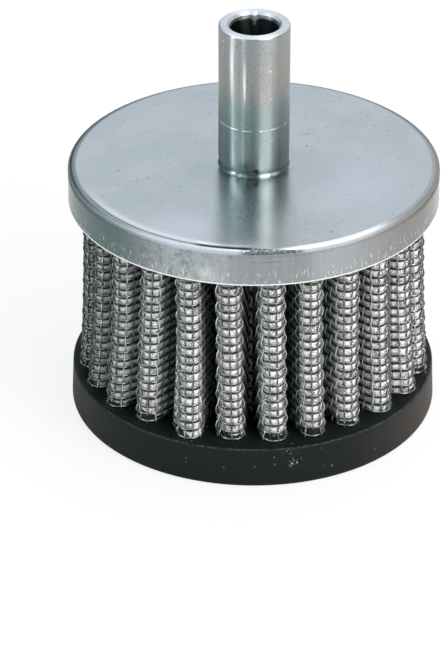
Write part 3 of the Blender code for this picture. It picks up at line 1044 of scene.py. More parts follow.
@dataclass
class PleatLine:
    """Plan line of the pleated strip, at the middle of the outer mesh, with its lean at each pleat."""

    pleats: int = 25
    first_nose: float = math.radians(5.4)
    seam_after: int = 12
    nose_centre: float = 32.15 * MM
    nose_radius: float = 2.45 * MM
    fold_centre: float = 24.0 * MM
    fold_radius: float = 0.50 * MM
    tab_tip: float = 17.3 * MM
    tab_gap: float = 0.3 * MM
    arc_points: int = 40
    seed: int = 7
    lean: float = 0.22 * MM
    lean_limit: float = 0.4 * MM
    flare_limit: float = 1.0 * MM
    leaning: tuple[tuple[int, float, float], ...] = (
        (-6, *mm(-1.20, 1.20)),
        (-5, *mm(-1.50, 1.25)),
        (-4, *mm(-1.50, 1.25)),
        (-3, *mm(-1.35, 0.50)),
        (-2, *mm(0.60, 1.60)),
        (-1, *mm(0.75, 0.00)),
        (0, *mm(0.95, 0.40)),
        (1, *mm(0.70, 0.45)),
        (2, *mm(0.55, 0.30)),
        (3, *mm(0.80, 1.00)),
        (4, *mm(1.10, 1.60)),
        (5, *mm(1.50, 1.60)),
        (6, *mm(1.20, 1.40)),
    )
    length: Array = field(init=False)
    x: Array = field(init=False)
    y: Array = field(init=False)
    facing: Array = field(init=False)
    pleat: Array = field(init=False)
    reach: Array = field(init=False)
    feet: Array = field(init=False)
    tops: Array = field(init=False)
    bows: Array = field(init=False)
    flares: Array = field(init=False)

    def __post_init__(self) -> None:
        """Work out the line: a tab, then nose and fold arcs joined by straight flanks, then a tab."""
        nose_turn = math.pi / 2 - self.flank_lean()
        fold_turn = nose_turn - self.pitch / 2
        steps = np.linspace(-1, 1, self.arc_points)[None, :]
        number = np.arange(self.pleats)[:, None]
        turn, bent = steps * nose_turn, steps * fold_turn
        axis = self.axis(number)
        fold_axis = axis + self.pitch / 2
        nose = self.nose_centre + self.nose_radius * np.cos(turn), self.nose_radius * np.sin(turn)
        fold = self.fold_centre - self.fold_radius * np.cos(bent), self.fold_radius * np.sin(bent)
        noses = (*plan(axis, *nose), axis + turn, number + 0 * turn)
        folds = (*plan(fold_axis, *fold), fold_axis - bent, number + 0 * bent)
        x, y, facing, pleat = (
            np.concatenate(pair, axis=1).ravel()[: -self.arc_points] for pair in zip(noses, folds)
        )
        seam, quarter = self.seam_angle, math.pi / 2
        kink = self.fold_centre - self.fold_radius * math.tan((quarter - fold_turn) / 2)
        tab = np.array([self.tab_tip, kink - self.tab_gap])
        first_x, first_y = plan(seam, tab, self.fold_radius)
        last_x, last_y = plan(seam, tab[::-1], -self.fold_radius)
        self.x = np.concatenate([first_x, x, last_x])
        self.y = np.concatenate([first_y, y, last_y])
        self.facing = np.concatenate([[seam - quarter] * 2, facing, [seam + 5 * quarter] * 2])
        self.pleat = np.concatenate([[0, 0], pleat, [self.pleats - 1] * 2])
        gaps = np.hypot(np.diff(self.x), np.diff(self.y))
        self.length = np.concatenate([[0], np.cumsum(gaps)])
        self.reach = self.reach_at(np.hypot(self.x, self.y))
        self.set_lean()

    @property
    def pitch(self) -> float:
        """Return the angle from one pleat to the next."""
        return 2 * math.pi / self.pleats

    @property
    def seam_angle(self) -> float:
        """Return the direction of the seam."""
        return self.first_nose + (self.seam_after + 0.5) * self.pitch

    @property
    def fold_place(self) -> Span:
        """Return where a fold's middle lies along and across the axis of the pleat beside it."""
        return self.fold_centre * math.cos(self.pitch / 2), self.fold_centre * math.sin(self.pitch / 2)

    def axis(self, pleat: Array) -> Array:
        """Return the direction of a pleat's nose, counted from the seam."""
        return self.first_nose + (self.seam_after + 1 + pleat) * self.pitch

    def reach_at(self, radius: Array) -> Array:
        """Return how much a point follows its nose: share^2 (3 - 2 share) from fold to nose."""
        share = np.clip((radius - self.fold_centre) / (self.nose_centre - self.fold_centre), 0, 1)
        return share * share * (3 - 2 * share)

    def flank_lean(self) -> float:
        """Return how far a flank leans from its pleat's axis, as a tangent to its nose and its fold.

        Returns:
            The lean in radians.
        """
        fold_along, across = self.fold_place
        along = self.nose_centre - fold_along
        turn = math.asin((self.nose_radius + self.fold_radius) / math.hypot(along, across))
        return math.atan2(across, along) - turn

    def set_lean(self) -> None:
        """Give every pleat a small lean: a shift at its foot, at its top, and a bow between them.

        The feet named in leaning stand further off: number of pleat from the first nose, then the shifts
        sideways and outwards.
        """
        dice = np.random.default_rng(self.seed)
        shifts = dice.normal(0, self.lean, (3, self.pleats))
        self.feet, self.tops, self.bows = shifts.clip(-self.lean_limit, self.lean_limit)
        self.flares = dice.uniform(0, self.flare_limit, self.pleats)
        for number, aside, outward in self.leaning:
            index = (number - self.seam_after - 1) % self.pleats
            self.feet[index], self.flares[index] = aside, outward

    def from_nose(self, length: Array) -> Array:
        """Return the distance along the strip from the nearest nose's middle.

        Args:
            length: Lengths along the strip.

        Returns:
            The distances.
        """
        first = self.length[2] + self.nose_radius * (math.pi / 2 - self.flank_lean())
        turns = (length - first) / self.pleat_length()
        return np.abs(turns - np.round(turns)) * self.pleat_length()

    def total(self) -> float:
        """Return the strip's whole length."""
        return float(self.length[-1])

    def pleat_length(self) -> float:
        """Return the strip's length in one pleat: both arcs and two flanks.

        Returns:
            The length.
        """
        turn = math.pi - 2 * self.flank_lean()
        arcs = self.nose_radius * turn + self.fold_radius * (turn - self.pitch)
        fold_along, across = self.fold_place
        along = self.nose_centre - fold_along
        flank = math.sqrt(along**2 + across**2 - (self.nose_radius + self.fold_radius) ** 2)
        return arcs + 2 * flank

    @staticmethod
    def share_up(height: Array) -> Array:
        """Return how far up the pack a height is, 0 at the base and 1 at the skirt's edge."""
        return np.clip((height - BASE_TOP) / (SKIRT_BOTTOM - BASE_TOP), 0, 1)

    def sway(self, pleat: Array, height: Array) -> Array:
        """Return how far a pleat's nose is shifted sideways at a height.

        The shift runs evenly from the foot's to the top's, plus the bow times 4 share (1 - share).

        Args:
            pleat: Whole numbers of pleats.
            height: Heights.

        Returns:
            The shifts, positive towards growing angles.
        """
        share = self.share_up(height)
        index = pleat.astype(int)
        even = self.feet[index] * (1 - share) + self.tops[index] * share
        return even + self.bows[index] * 4 * share * (1 - share)

    def flare(self, pleat: Array, height: Array) -> Array:
        """Return how far a pleat's nose stands outwards: its flare times (1 - share)^2 up the pack."""
        return self.flares[pleat.astype(int)] * (1 - self.share_up(height)) ** 2

    def at(self, length: Array, height: Array) -> tuple[Array, Array]:
        """Return points of the line, and the way each faces, for lengths and heights of one shape.

        Args:
            length: Lengths along the strip.
            height: Heights.

        Returns:
            Points and outward directions, each with a last axis of three.
        """
        tables = (self.x, self.y, self.facing, self.reach, self.pleat)
        x, y, facing, reach, pleat = (np.interp(length, self.length, values) for values in tables)
        pleat = np.floor(pleat + 1e-6)
        shift = self.flare(pleat, height) * reach, self.sway(pleat, height) * reach
        shift_x, shift_y = plan(self.axis(pleat), *shift)
        points = np.stack([x + shift_x, y + shift_y, height], axis=-1)
        outward = np.stack([np.sin(facing), -np.cos(facing), np.zeros_like(facing)], axis=-1)
        return points, outward

    def distance(self, radius: Array, angle: Array) -> Array:
        """Return the distance of plan points from the line at the base, positive on the air side.

        In each pleat the nearest part is the nose's circle, the flank's straight line or the fold's
        circle, by the point's place along the flank.

        Args:
            radius: Radii of the points.
            angle: Their angles.

        Returns:
            The distances.
        """
        turn = (angle - self.first_nose) / self.pitch
        number = np.round(turn)
        pleat = (number - self.seam_after - 1) % self.pleats
        swing = (turn - number) * self.pitch
        foot = np.full_like(radius, BASE_TOP)
        reach = self.reach_at(radius)
        along = radius * np.cos(swing) - self.flare(pleat, foot) * reach
        across = np.abs(radius * np.sin(swing) - self.sway(pleat, foot) * reach)
        sine, cosine = math.sin(self.flank_lean()), math.cos(self.flank_lean())
        from_nose = along - self.nose_centre
        down = across * sine - from_nose * cosine
        fold_along, fold_across = self.fold_place
        end = fold_across * sine - (fold_along - self.nose_centre) * cosine
        flank = from_nose * sine + across * cosine - self.nose_radius
        nose = np.hypot(from_nose, across) - self.nose_radius
        fold = self.fold_radius - np.hypot(along - fold_along, across - fold_across)
        return np.where(down < 0, nose, np.where(down > end, fold, flank))


def sweep(
    centres: Array, sideways: Array, upwards: Array, radius: float, sides: int, marks: Array
) -> Surface:
    """Carry a round section along many paths at once, and close both ends of each.

    A point is its centre + radius (cos(turn) sideways + sin(turn) upwards), and sideways x upwards runs
    along the path.

    Args:
        centres: Paths, as an array of wires by steps by three.
        sideways: First axis of the section at each step.
        upwards: Second axis of the section at each step.
        radius: Radius of the wire.
        sides: Number of points round it.
        marks: Two numbers for each step, kept as the pattern map.

    Returns:
        The surface of all the wires.
    """
    wires, steps = centres.shape[:2]
    turn = (2 * math.pi / sides) * np.arange(sides)[:, None]
    ring = np.cos(turn) * sideways[..., None, :] + np.sin(turn) * upwards[..., None, :]
    points = centres[..., None, :] + radius * ring
    first = np.arange(wires)[:, None] * steps * sides
    quads = (first[..., None] + grid_quads(steps, sides, True)[None]).reshape(-1, 4)
    around = np.arange(sides)
    lower = first + around[::-1]
    upper = first + (steps - 1) * sides + around
    pattern = np.repeat(marks[..., None, :], sides, axis=-2).reshape(-1, 2)
    return Surface(points.reshape(-1, 3), quads, lower.tolist() + upper.tolist(), pattern)


@dataclass
class WovenMesh:
    """Outer mesh: plain-woven wire, pleated. Crosswise wires run round, upright wires cross them.

    Each waver of the rows has three numbers: length over two pi, turn from row to row, and height.
    """

    line: PleatLine
    wires_per_pleat: float = 15.8
    weft_radius: float = 0.19 * MM
    warp_radius: float = 0.15 * MM
    weft_wave: float = 0.06 * MM
    warp_wave: float = 0.27 * MM
    rows: int = 22
    weft_steps: int = 48
    warp_steps: int = 3
    weft_sides: int = 6
    warp_sides: int = 5
    wavers: tuple[Triple, ...] = ((9.3 * MM, 1.70, 0.10 * MM), (3.9 * MM, 3.91, 0.07 * MM))

    @property
    def spacing(self) -> float:
        """Return the distance between upright wires along the strip."""
        return self.line.pleat_length() / self.wires_per_pleat

    def row_heights(self, number: Array, length: Array) -> Array:
        """Return the heights of crosswise wires, which waver a little along the strip.

        Args:
            number: Numbers of the rows.
            length: Lengths along the strip.

        Returns:
            The heights.
        """
        waver = sum(rise * np.sin(length / wave + turn * number) for wave, turn, rise in self.wavers)
        return FIRST_ROW + number * ROW_PITCH + waver

    def weft(self, start: int, stop: int) -> Surface:
        """Work out crosswise wires: each runs along the line and waves past the upright wires.

        Its way out from the line is wave cos(pi (length / spacing - 1/2 + row)).

        Args:
            start: First row.
            stop: Row after the last.

        Returns:
            The surface of the rows.
        """
        count = int(self.weft_steps * self.line.total() / self.line.pleat_length())
        length = np.linspace(0, self.line.total(), count)[None, :]
        number = np.arange(start, stop)[:, None]
        height = self.row_heights(number, length)
        points, outward = self.line.at(np.broadcast_to(length, height.shape), height)
        wave = self.weft_wave * np.cos(math.pi * (length / self.spacing - 0.5 + number))
        down = np.zeros_like(points)
        down[..., 2] = -1.0
        marks = np.stack([self.line.from_nose(length) + 0 * height, height], axis=-1)
        paths = points + wave[..., None] * outward
        return sweep(paths, outward, down, self.weft_radius, self.weft_sides, marks)

    def warp(self, start: float, stop: float) -> Surface:
        """Work out upright wires: each rises at one length and waves in and out past the rows.

        Its way out from the line is -wave cos(pi ((height - row's waver - first row) / pitch + wire)).

        Args:
            start: Share of the strip where these wires start.
            stop: Share of the strip where they stop.

        Returns:
            The surface of the wires.
        """
        count = int(self.line.total() / self.spacing)
        chosen = np.arange(int(start * count), int(stop * count))[:, None]
        steps = int(self.warp_steps * (PACK_TOP - PACK_BOTTOM) / ROW_PITCH) + 1
        height = np.linspace(PACK_BOTTOM, PACK_TOP, steps)[None, :] + 0.0 * chosen
        length = (chosen + 0.5) * self.spacing + 0 * height
        points, outward = self.line.at(length, height)
        waver = self.row_heights((height - FIRST_ROW) / ROW_PITCH, length) - height
        phase = math.pi * ((height - waver - FIRST_ROW) / ROW_PITCH + chosen)
        wave = -self.warp_wave * np.cos(phase)
        slope = np.arctan(self.warp_wave * math.pi / ROW_PITCH * np.sin(phase))[..., None]
        across = np.stack([-outward[..., 1], outward[..., 0], outward[..., 2]], axis=-1)
        back = np.array([0.0, 0.0, 1.0]) * np.sin(slope) - outward * np.cos(slope)
        marks = np.stack([self.line.from_nose(length), height], axis=-1)
        paths = points + wave[..., None] * outward
        return sweep(paths, across, back, self.warp_radius, self.warp_sides, marks)

    def build(self, crosswise: bpy.types.Material, upright: bpy.types.Material) -> list[bpy.types.Object]:
        """Build the mesh in four pieces and dress them.

        Args:
            crosswise: The material of the wires that run round.
            upright: The material of the wires that cross them.

        Returns:
            The pieces.
        """
        half = self.rows // 2
        surfaces = {
            "mesh_rows_lower": (self.weft(0, half), crosswise),
            "mesh_rows_upper": (self.weft(half, self.rows), crosswise),
            "mesh_uprights_left": (self.warp(0.0, 0.5), upright),
            "mesh_uprights_right": (self.warp(0.5, 1.0), upright),
        }
        return [
            add_piece(name, surface, finish, ("outer_screen",))
            for name, (surface, finish) in surfaces.items()
        ]


@dataclass
class PleatedSheet:
    """A closed sheet in the strip's folds, behind the outer mesh."""

    line: PleatLine
    mesh: WovenMesh
    pressed: float = -1.30 * MM
    swell: float = 0.0
    inner_face: float = -1.70 * MM
    steps: int = 2
    seen: Span = (BASE_TOP + 0.4 * MM, SKIRT_BOTTOM + 1.2 * MM)

    def surface(self) -> Surface:
        """Work out the sheet: its outer face stands at pressed + swell sqrt(across up).

        Across and up are sines, 0 where a wire lies on the cloth and 1 in the middle of an opening. The
        inner face is plain, with three rows of points: lowest, middle and highest.

        Returns:
            The closed sheet, with its pattern map in metres.
        """
        total = self.line.total()
        count = int(self.steps * total / self.mesh.spacing) + 1
        rows = int(self.steps * (self.seen[1] - self.seen[0]) / ROW_PITCH)
        height = np.concatenate([[PACK_BOTTOM], np.linspace(*self.seen, rows), [PACK_TOP]])
        lengths, heights = np.meshgrid(np.linspace(0, total, count), height)
        points, outward = self.line.at(lengths, heights)
        across = np.abs(np.sin(math.pi * (lengths / self.mesh.spacing - 0.5)))
        waver = self.mesh.row_heights((heights - FIRST_ROW) / ROW_PITCH, lengths) - heights
        up = np.abs(np.sin(math.pi * (heights - waver - FIRST_ROW) / ROW_PITCH))
        stand = self.pressed + self.swell * np.sqrt(across * up)
        inner_rows = [0, len(height) // 2, len(height) - 1]
        outer = points + stand[..., None] * outward
        inner = points[inner_rows] + self.inner_face * outward[inner_rows]
        pattern = np.stack([lengths, heights], axis=-1)
        quads, caps = self.faces(len(height), count)
        return Surface(
            np.concatenate([outer, inner]).reshape(-1, 3),
            quads,
            caps,
            np.concatenate([pattern, pattern[inner_rows]]).reshape(-1, 2),
        )

    @staticmethod
    def faces(rows: int, count: int) -> tuple[Array, list[list[int]]]:
        """Join the outer face's rows of points, the inner face's three, and the edges between them.

        Args:
            rows: Number of rows in the outer face.
            count: Number of points in a row.

        Returns:
            The quads, and the many-sided faces at the strip's two ends.
        """
        first = rows * count
        step = np.arange(count - 1)
        top, inner_top = first - count + step, first + 2 * count + step
        quads = [
            grid_quads(rows, count, False),
            grid_quads(3, count, False)[:, ::-1] + first,
            np.stack([step + 1, step, first + step, first + step + 1], axis=-1),
            np.stack([top, top + 1, inner_top + 1, inner_top], axis=-1),
        ]
        outer_end, inner_end = np.arange(rows) * count, first + np.arange(3) * count
        left = [*inner_end.tolist(), *outer_end[::-1].tolist()]
        right = [*(outer_end + count - 1).tolist(), *(inner_end + count - 1)[::-1].tolist()]
        return np.concatenate(quads), [left, right]


@dataclass
class SupportMesh(PleatedSheet):
    """Finer mesh that holds the gauze from inside."""

    def build(self, finish: bpy.types.Material) -> bpy.types.Object:
        """Build the sheet and dress it."""
        return add_piece("support_mesh", self.surface(), finish, ("inner_screen",))


@dataclass
class GauzeSheet(PleatedSheet):
    """Cotton gauze that swells through the outer mesh's openings."""

    pressed: float = -0.44 * MM
    swell: float = 0.30 * MM
    inner_face: float = -1.15 * MM
    steps: int = 3

    def build(self, finish: bpy.types.Material) -> bpy.types.Object:
        """Build the sheet and dress it.

        Args:
            finish: The gauze's material.

        Returns:
            The piece.
        """
        piece = add_piece("gauze_sheet", self.surface(), finish, ("gauze_media",))
        flat = (PACK_TOP - PACK_BOTTOM, self.line.total())
        return piece


def revolved(profile: Array, segments: int) -> tuple[Array, Array, Array]:
    """Spread a profile of (radius, height) points round the axis.

    Args:
        profile: The profile, from which radius and height are read.
        segments: Number of steps round.

    Returns:
        Radius, angle and height, each as an array of profile points by segments.
    """
    angle = (2 * math.pi / segments) * np.arange(segments)[None, :] + 0 * profile[:, :1]
    radius = profile[:, :1] + 0 * angle
    height = profile[:, 1:] + 0 * angle
    return radius, angle, height


def ring_points(radius: Array, angle: Array, height: Array) -> Array:
    """Return points from radius, angle and height, in rows of three."""
    x, y = plan(angle, radius)
    return np.stack([x, y, height], axis=-1).reshape(-1, 3)


def hollow_ring(radius: Array, angle: Array, height: Array) -> Surface:
    """Close a spread profile on itself, as for a ring or a tube.

    Args:
        radius: Radii, as an array of profile points by segments.
        angle: Angles of the same shape.
        height: Heights of the same shape.

    Returns:
        The surface.
    """
    rows, segments = radius.shape
    quads = grid_quads(rows + 1, segments, True) % (rows * segments)
    return Surface(ring_points(radius, angle, height), quads[:, ::-1])


def bend(centre: Span, radius: float, start: float, end: float, steps: int, rise: float = 0.0) -> Array:
    """Return profile points round a corner, which is oval when its rise is given.

    Args:
        centre: Radius and height of the corner's middle.
        radius: The corner's radius.
        start: First direction in degrees from outward, growing upwards.
        end: Last direction.
        steps: Number of steps.
        rise: The corner's radius along the height, or 0 for the same radius.

    Returns:
        The points.
    """
    turn = np.radians(np.linspace(start, end, steps + 1))
    rise = rise or radius
    return np.stack([centre[0] + radius * np.cos(turn), centre[1] + rise * np.sin(turn)], axis=-1)


def run(start: Span, end: Span, steps: int) -> Array:
    """Return evenly spaced profile points from start up to, but not with, end."""
    share = np.arange(steps)[:, None] / steps
    return np.array(start) * (1 - share) + np.array(end) * share


@dataclass
class DrawnCap:
    """Drawn steel cap: flat top, rolled corner, straight skirt that opens a little at its edge."""

    radius: float = 37.5 * MM
    sheet: float = 0.7 * MM
    corner: float = 1.75 * MM
    corner_drop: float = 0.80 * MM
    inner_bend: float = 0.9 * MM
    hole: float = 6.6 * MM
    flare: float = 0.05 * MM
    flared_below: float = SKIRT_BOTTOM + 1.6 * MM
    lip: float = 0.18 * MM
    inside_above: float = SKIRT_BOTTOM + 1.0 * MM
    beside: float = 0.3 * MM
    segments: int = 208

    def profile(self) -> Array:
        """Work out the cap's closed profile, from the hole's upper edge outwards, round and back.

        Returns:
            The profile's points. Beside a bend, the next point stands a short way off.
        """
        lip, beside = self.lip, self.beside
        inside, under = self.radius - self.sheet, CAP_TOP - self.sheet
        edge, flared = self.radius - self.corner, self.radius + self.flare
        outer = (edge, CAP_TOP - self.corner_drop)
        inner = (inside - self.inner_bend, under - self.inner_bend)
        flared_from = (self.radius, self.flared_below)
        return np.concatenate(
            [
                run((self.hole, CAP_TOP), (edge - beside, CAP_TOP), 8),
                run((edge - beside, CAP_TOP), (edge, CAP_TOP), 1),
                bend(outer, self.corner, 90, 0, 14, self.corner_drop),
                run((self.radius, outer[1] - beside), flared_from, 4),
                run(flared_from, (flared, SKIRT_BOTTOM + lip), 4),
                bend((flared - lip, SKIRT_BOTTOM + lip), lip, 0, -90, 3),
                bend((inside + lip, SKIRT_BOTTOM + lip), lip, -90, -180, 3),
                run((inside, self.inside_above), (inside, inner[1]), 3),
                bend(inner, self.inner_bend, 0, 90, 5),
                run((inner[0] - beside, under), (self.hole, under), 4),
                [[self.hole, under]],
            ]
        )

    def build(self, finish: bpy.types.Material) -> bpy.types.Object:
        """Turn the profile round the axis and dress the cap."""
        surface = hollow_ring(*revolved(self.profile(), self.segments))
        return add_piece("drawn_cap", surface, finish, ("top_cap",))


@dataclass
class VentTube:
    """Seam-welded vent tube: chamfered rim, scribed line, fillet at its foot, spigot's rolled lip.

    Each ripple up the weld's bead has two numbers: length over two pi, and share of its height.
    """

    radius: float = 7.15 * MM
    chamfer: float = 0.45 * MM
    foot: float = 0.50 * MM
    waist: float = 1.7 * MM
    narrowed: float = 0.40 * MM
    spigot: float = 6.3 * MM
    lip_reach: float = 1.3 * MM
    lip_thickness: float = 0.9 * MM
    lip_top: float = 52.8 * MM
    scribed_deep: float = 0.05 * MM
    scribed_wide: float = 0.11 * MM
    flash_height: float = 0.42 * MM
    flash_width: float = 0.45 * MM
    ripples: tuple[Span, ...] = ((0.55 * MM, 0.12), (1.9 * MM, 0.1))
    segments: int = 168

    def profile(self) -> Array:
        """Work out the tube's closed profile, from the bore's rim over the top, down and back up.

        Returns:
            The profile's points.
        """
        top, radius, bore, cut = TUBE_TOP, self.radius, BORE_RADIUS, self.chamfer
        line, wide = SCRIBED_HEIGHT, self.scribed_wide
        roll = (self.spigot + self.lip_reach - self.lip_thickness, self.lip_top)
        low = self.lip_top - self.lip_thickness
        narrow = radius - self.narrowed
        foot = (narrow + self.foot, CAP_TOP + self.foot)
        return np.concatenate(
            [
                [[bore, top - cut], [bore + cut, top]],
                run((bore + cut + 0.1 * MM, top), (radius - cut, top), 3),
                bend((radius - cut, top - cut), cut, 90, 0, 5),
                run((radius, top - cut - 0.4 * MM), (radius, line + 2 * wide), 8),
                [[radius, line + 2 * wide], [radius, line + wide], [radius - self.scribed_deep, line]],
                [[radius, line - wide]],
                run((radius, line - 2 * wide), (radius, CAP_TOP + self.waist), 5),
                run((radius, CAP_TOP + self.waist), (narrow, CAP_TOP + self.foot), 5),
                bend(foot, self.foot, 180, 270, 5),
                [[self.spigot, CAP_TOP], [self.spigot, self.lip_top]],
                bend(roll, self.lip_thickness, 0, -90, 6),
                [[bore, low], [bore, low + 0.4 * MM]],
                run((bore, low + 0.8 * MM), (bore, top - cut), 24),
            ]
        )

    def surface(self) -> Surface:
        """Turn the profile round the axis, with the weld's bead along the back of the bore.

        The bead lowers the bore's radius by height exp(-(arc / width)^2), with a slow ripple up it.

        Returns:
            The tube's surface.
        """
        radius, angle, height = revolved(self.profile(), self.segments)
        arc = BORE_RADIUS * (angle - math.pi)
        ripple = 1 + sum(share * np.sin(height / wave) for wave, share in self.ripples)
        bead = self.flash_height * np.exp(-((arc / self.flash_width) ** 2)) * ripple
        bottom = self.lip_top - self.lip_thickness + 0.2 * MM
        inside = (radius < BORE_RADIUS + 0.01 * MM) & (height > bottom)
        return hollow_ring(np.where(inside, radius - bead, radius), angle, height)

    def build(self, finish: bpy.types.Material) -> bpy.types.Object:
        """Build the tube and dress it."""
        return add_piece("vent_pipe", self.surface(), finish, ("vent_tube",))


@dataclass
class CastBase:
    """Cast black base, its poured top climbing the pleats that are bedded in it.

    The groove runs round inside the rim: start, middle and end from the rim's bend, and its depth.
    """

    line: PleatLine
    radius: float = 37.6 * MM
    draft: float = 0.3 * MM
    foot: float = 1.0 * MM
    rim: float = 0.4 * MM
    groove: tuple[float, ...] = mm(0.25, 0.42, 0.60)
    groove_depth: float = 0.05 * MM
    fine_from: float = 0.85 * MM
    fine_to: float = 20.4 * MM
    climb: float = 0.30 * MM
    spread: float = 0.38 * MM
    outer_face: float = 0.30 * MM
    inner_face: float = -1.9 * MM
    centre: float = 1.0 * MM
    segments: int = 600

    def profile(self) -> Array:
        """Work out the base's profile, from its underside's edge over the wall and in along the top.

        Returns:
            The profile's points.
        """
        top = self.radius - self.draft
        step = top - self.rim
        start, middle, end = (step - part for part in self.groove)
        return np.concatenate(
            [
                bend((self.radius - self.foot, self.foot), self.foot, -90, 0, 7),
                run((self.radius, self.foot + 0.3 * MM), (top, BASE_TOP - self.rim), 8),
                bend((step, BASE_TOP - self.rim), self.rim, 0, 90, 4),
                [[start, BASE_TOP], [middle, BASE_TOP - self.groove_depth], [end, BASE_TOP]],
                run((step - self.fine_from, BASE_TOP), (self.fine_to, BASE_TOP), 40),
                run((self.fine_to, BASE_TOP), (self.centre, BASE_TOP), 9),
                [[self.centre, BASE_TOP]],
            ]
        )

    def surface(self) -> Surface:
        """Turn the profile round the axis and let the top climb the pack.

        On the top, height grows by climb exp(-gap / spread), where gap is the distance from the pack's
        outer or inner face, and 0 inside the pack. Slow waves round the base make the climb uneven.

        Returns:
            The base's surface.
        """
        radius, angle, height = revolved(self.profile(), self.segments)
        away = self.line.distance(radius, angle)
        gap = np.maximum(np.maximum(away - self.outer_face, self.inner_face - away), 0)
        uneven = 1 + 0.22 * np.sin(angle * 61) * np.sin(angle * 17 + 1.3)
        rise = self.climb * uneven * np.exp(-gap / self.spread)
        on_top = (height > BASE_TOP - 0.06 * MM) & (radius < self.radius - self.draft - self.rim)
        height = np.where(on_top, height + rise, height)
        rows, around = len(radius), np.arange(self.segments)
        caps = [around[::-1].tolist(), ((rows - 1) * self.segments + around).tolist()]
        return Surface(ring_points(radius, angle, height), grid_quads(rows, self.segments, True), caps)

    def build(self, finish: bpy.types.Material) -> bpy.types.Object:
        """Build the base and dress it."""
        return add_piece("cast_base", self.surface(), finish, ("rubber_base",))


@dataclass
class PackedParts:
    """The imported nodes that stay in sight, each with its finish: seam clip and the cap's sealant."""

    finishes: dict[str, Finish] = field(
        default_factory=lambda: {"seam_clip": TinStrip(), "cap_sealant": SealingCompound()}
    )

    def dress(self) -> None:
        """Give each node its procedural finish."""
        for name, finish in self.finishes.items():
            material = finish.material()
            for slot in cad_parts[name].material_slots:
                slot.material = material
            LOG.info("node %s: dressed", name)


class Lights(Enum):
    """What a lamp lights: shading, reflections or both."""

    BOTH = (True, True)
    SHADING = (True, False)
    GLEAM = (False, True)


@dataclass(frozen=True)
class SoftLamp:
    """Rectangular soft lamp, placed by angles round the filter, in degrees from -Y and above the floor."""

    name: str
    azimuth: float
    elevation: float
    distance: float
    width: float
    height: float
    radiance: float
    colour: Colour = WHITE
    lights: Lights = Lights.BOTH


@dataclass(frozen=True)
class Glow:
    """A soft patch of the world round a direction, with cosines at its rim and where it is full."""

    way: Triple
    cosines: Span
    strength: float = 1.0


@dataclass(frozen=True)
class Zone:
    """A soft-edged part of the world: spans by the direction's axis, 0 to 2, and its strength."""

    spans: dict[int, Span]
    strength: float = 1.0


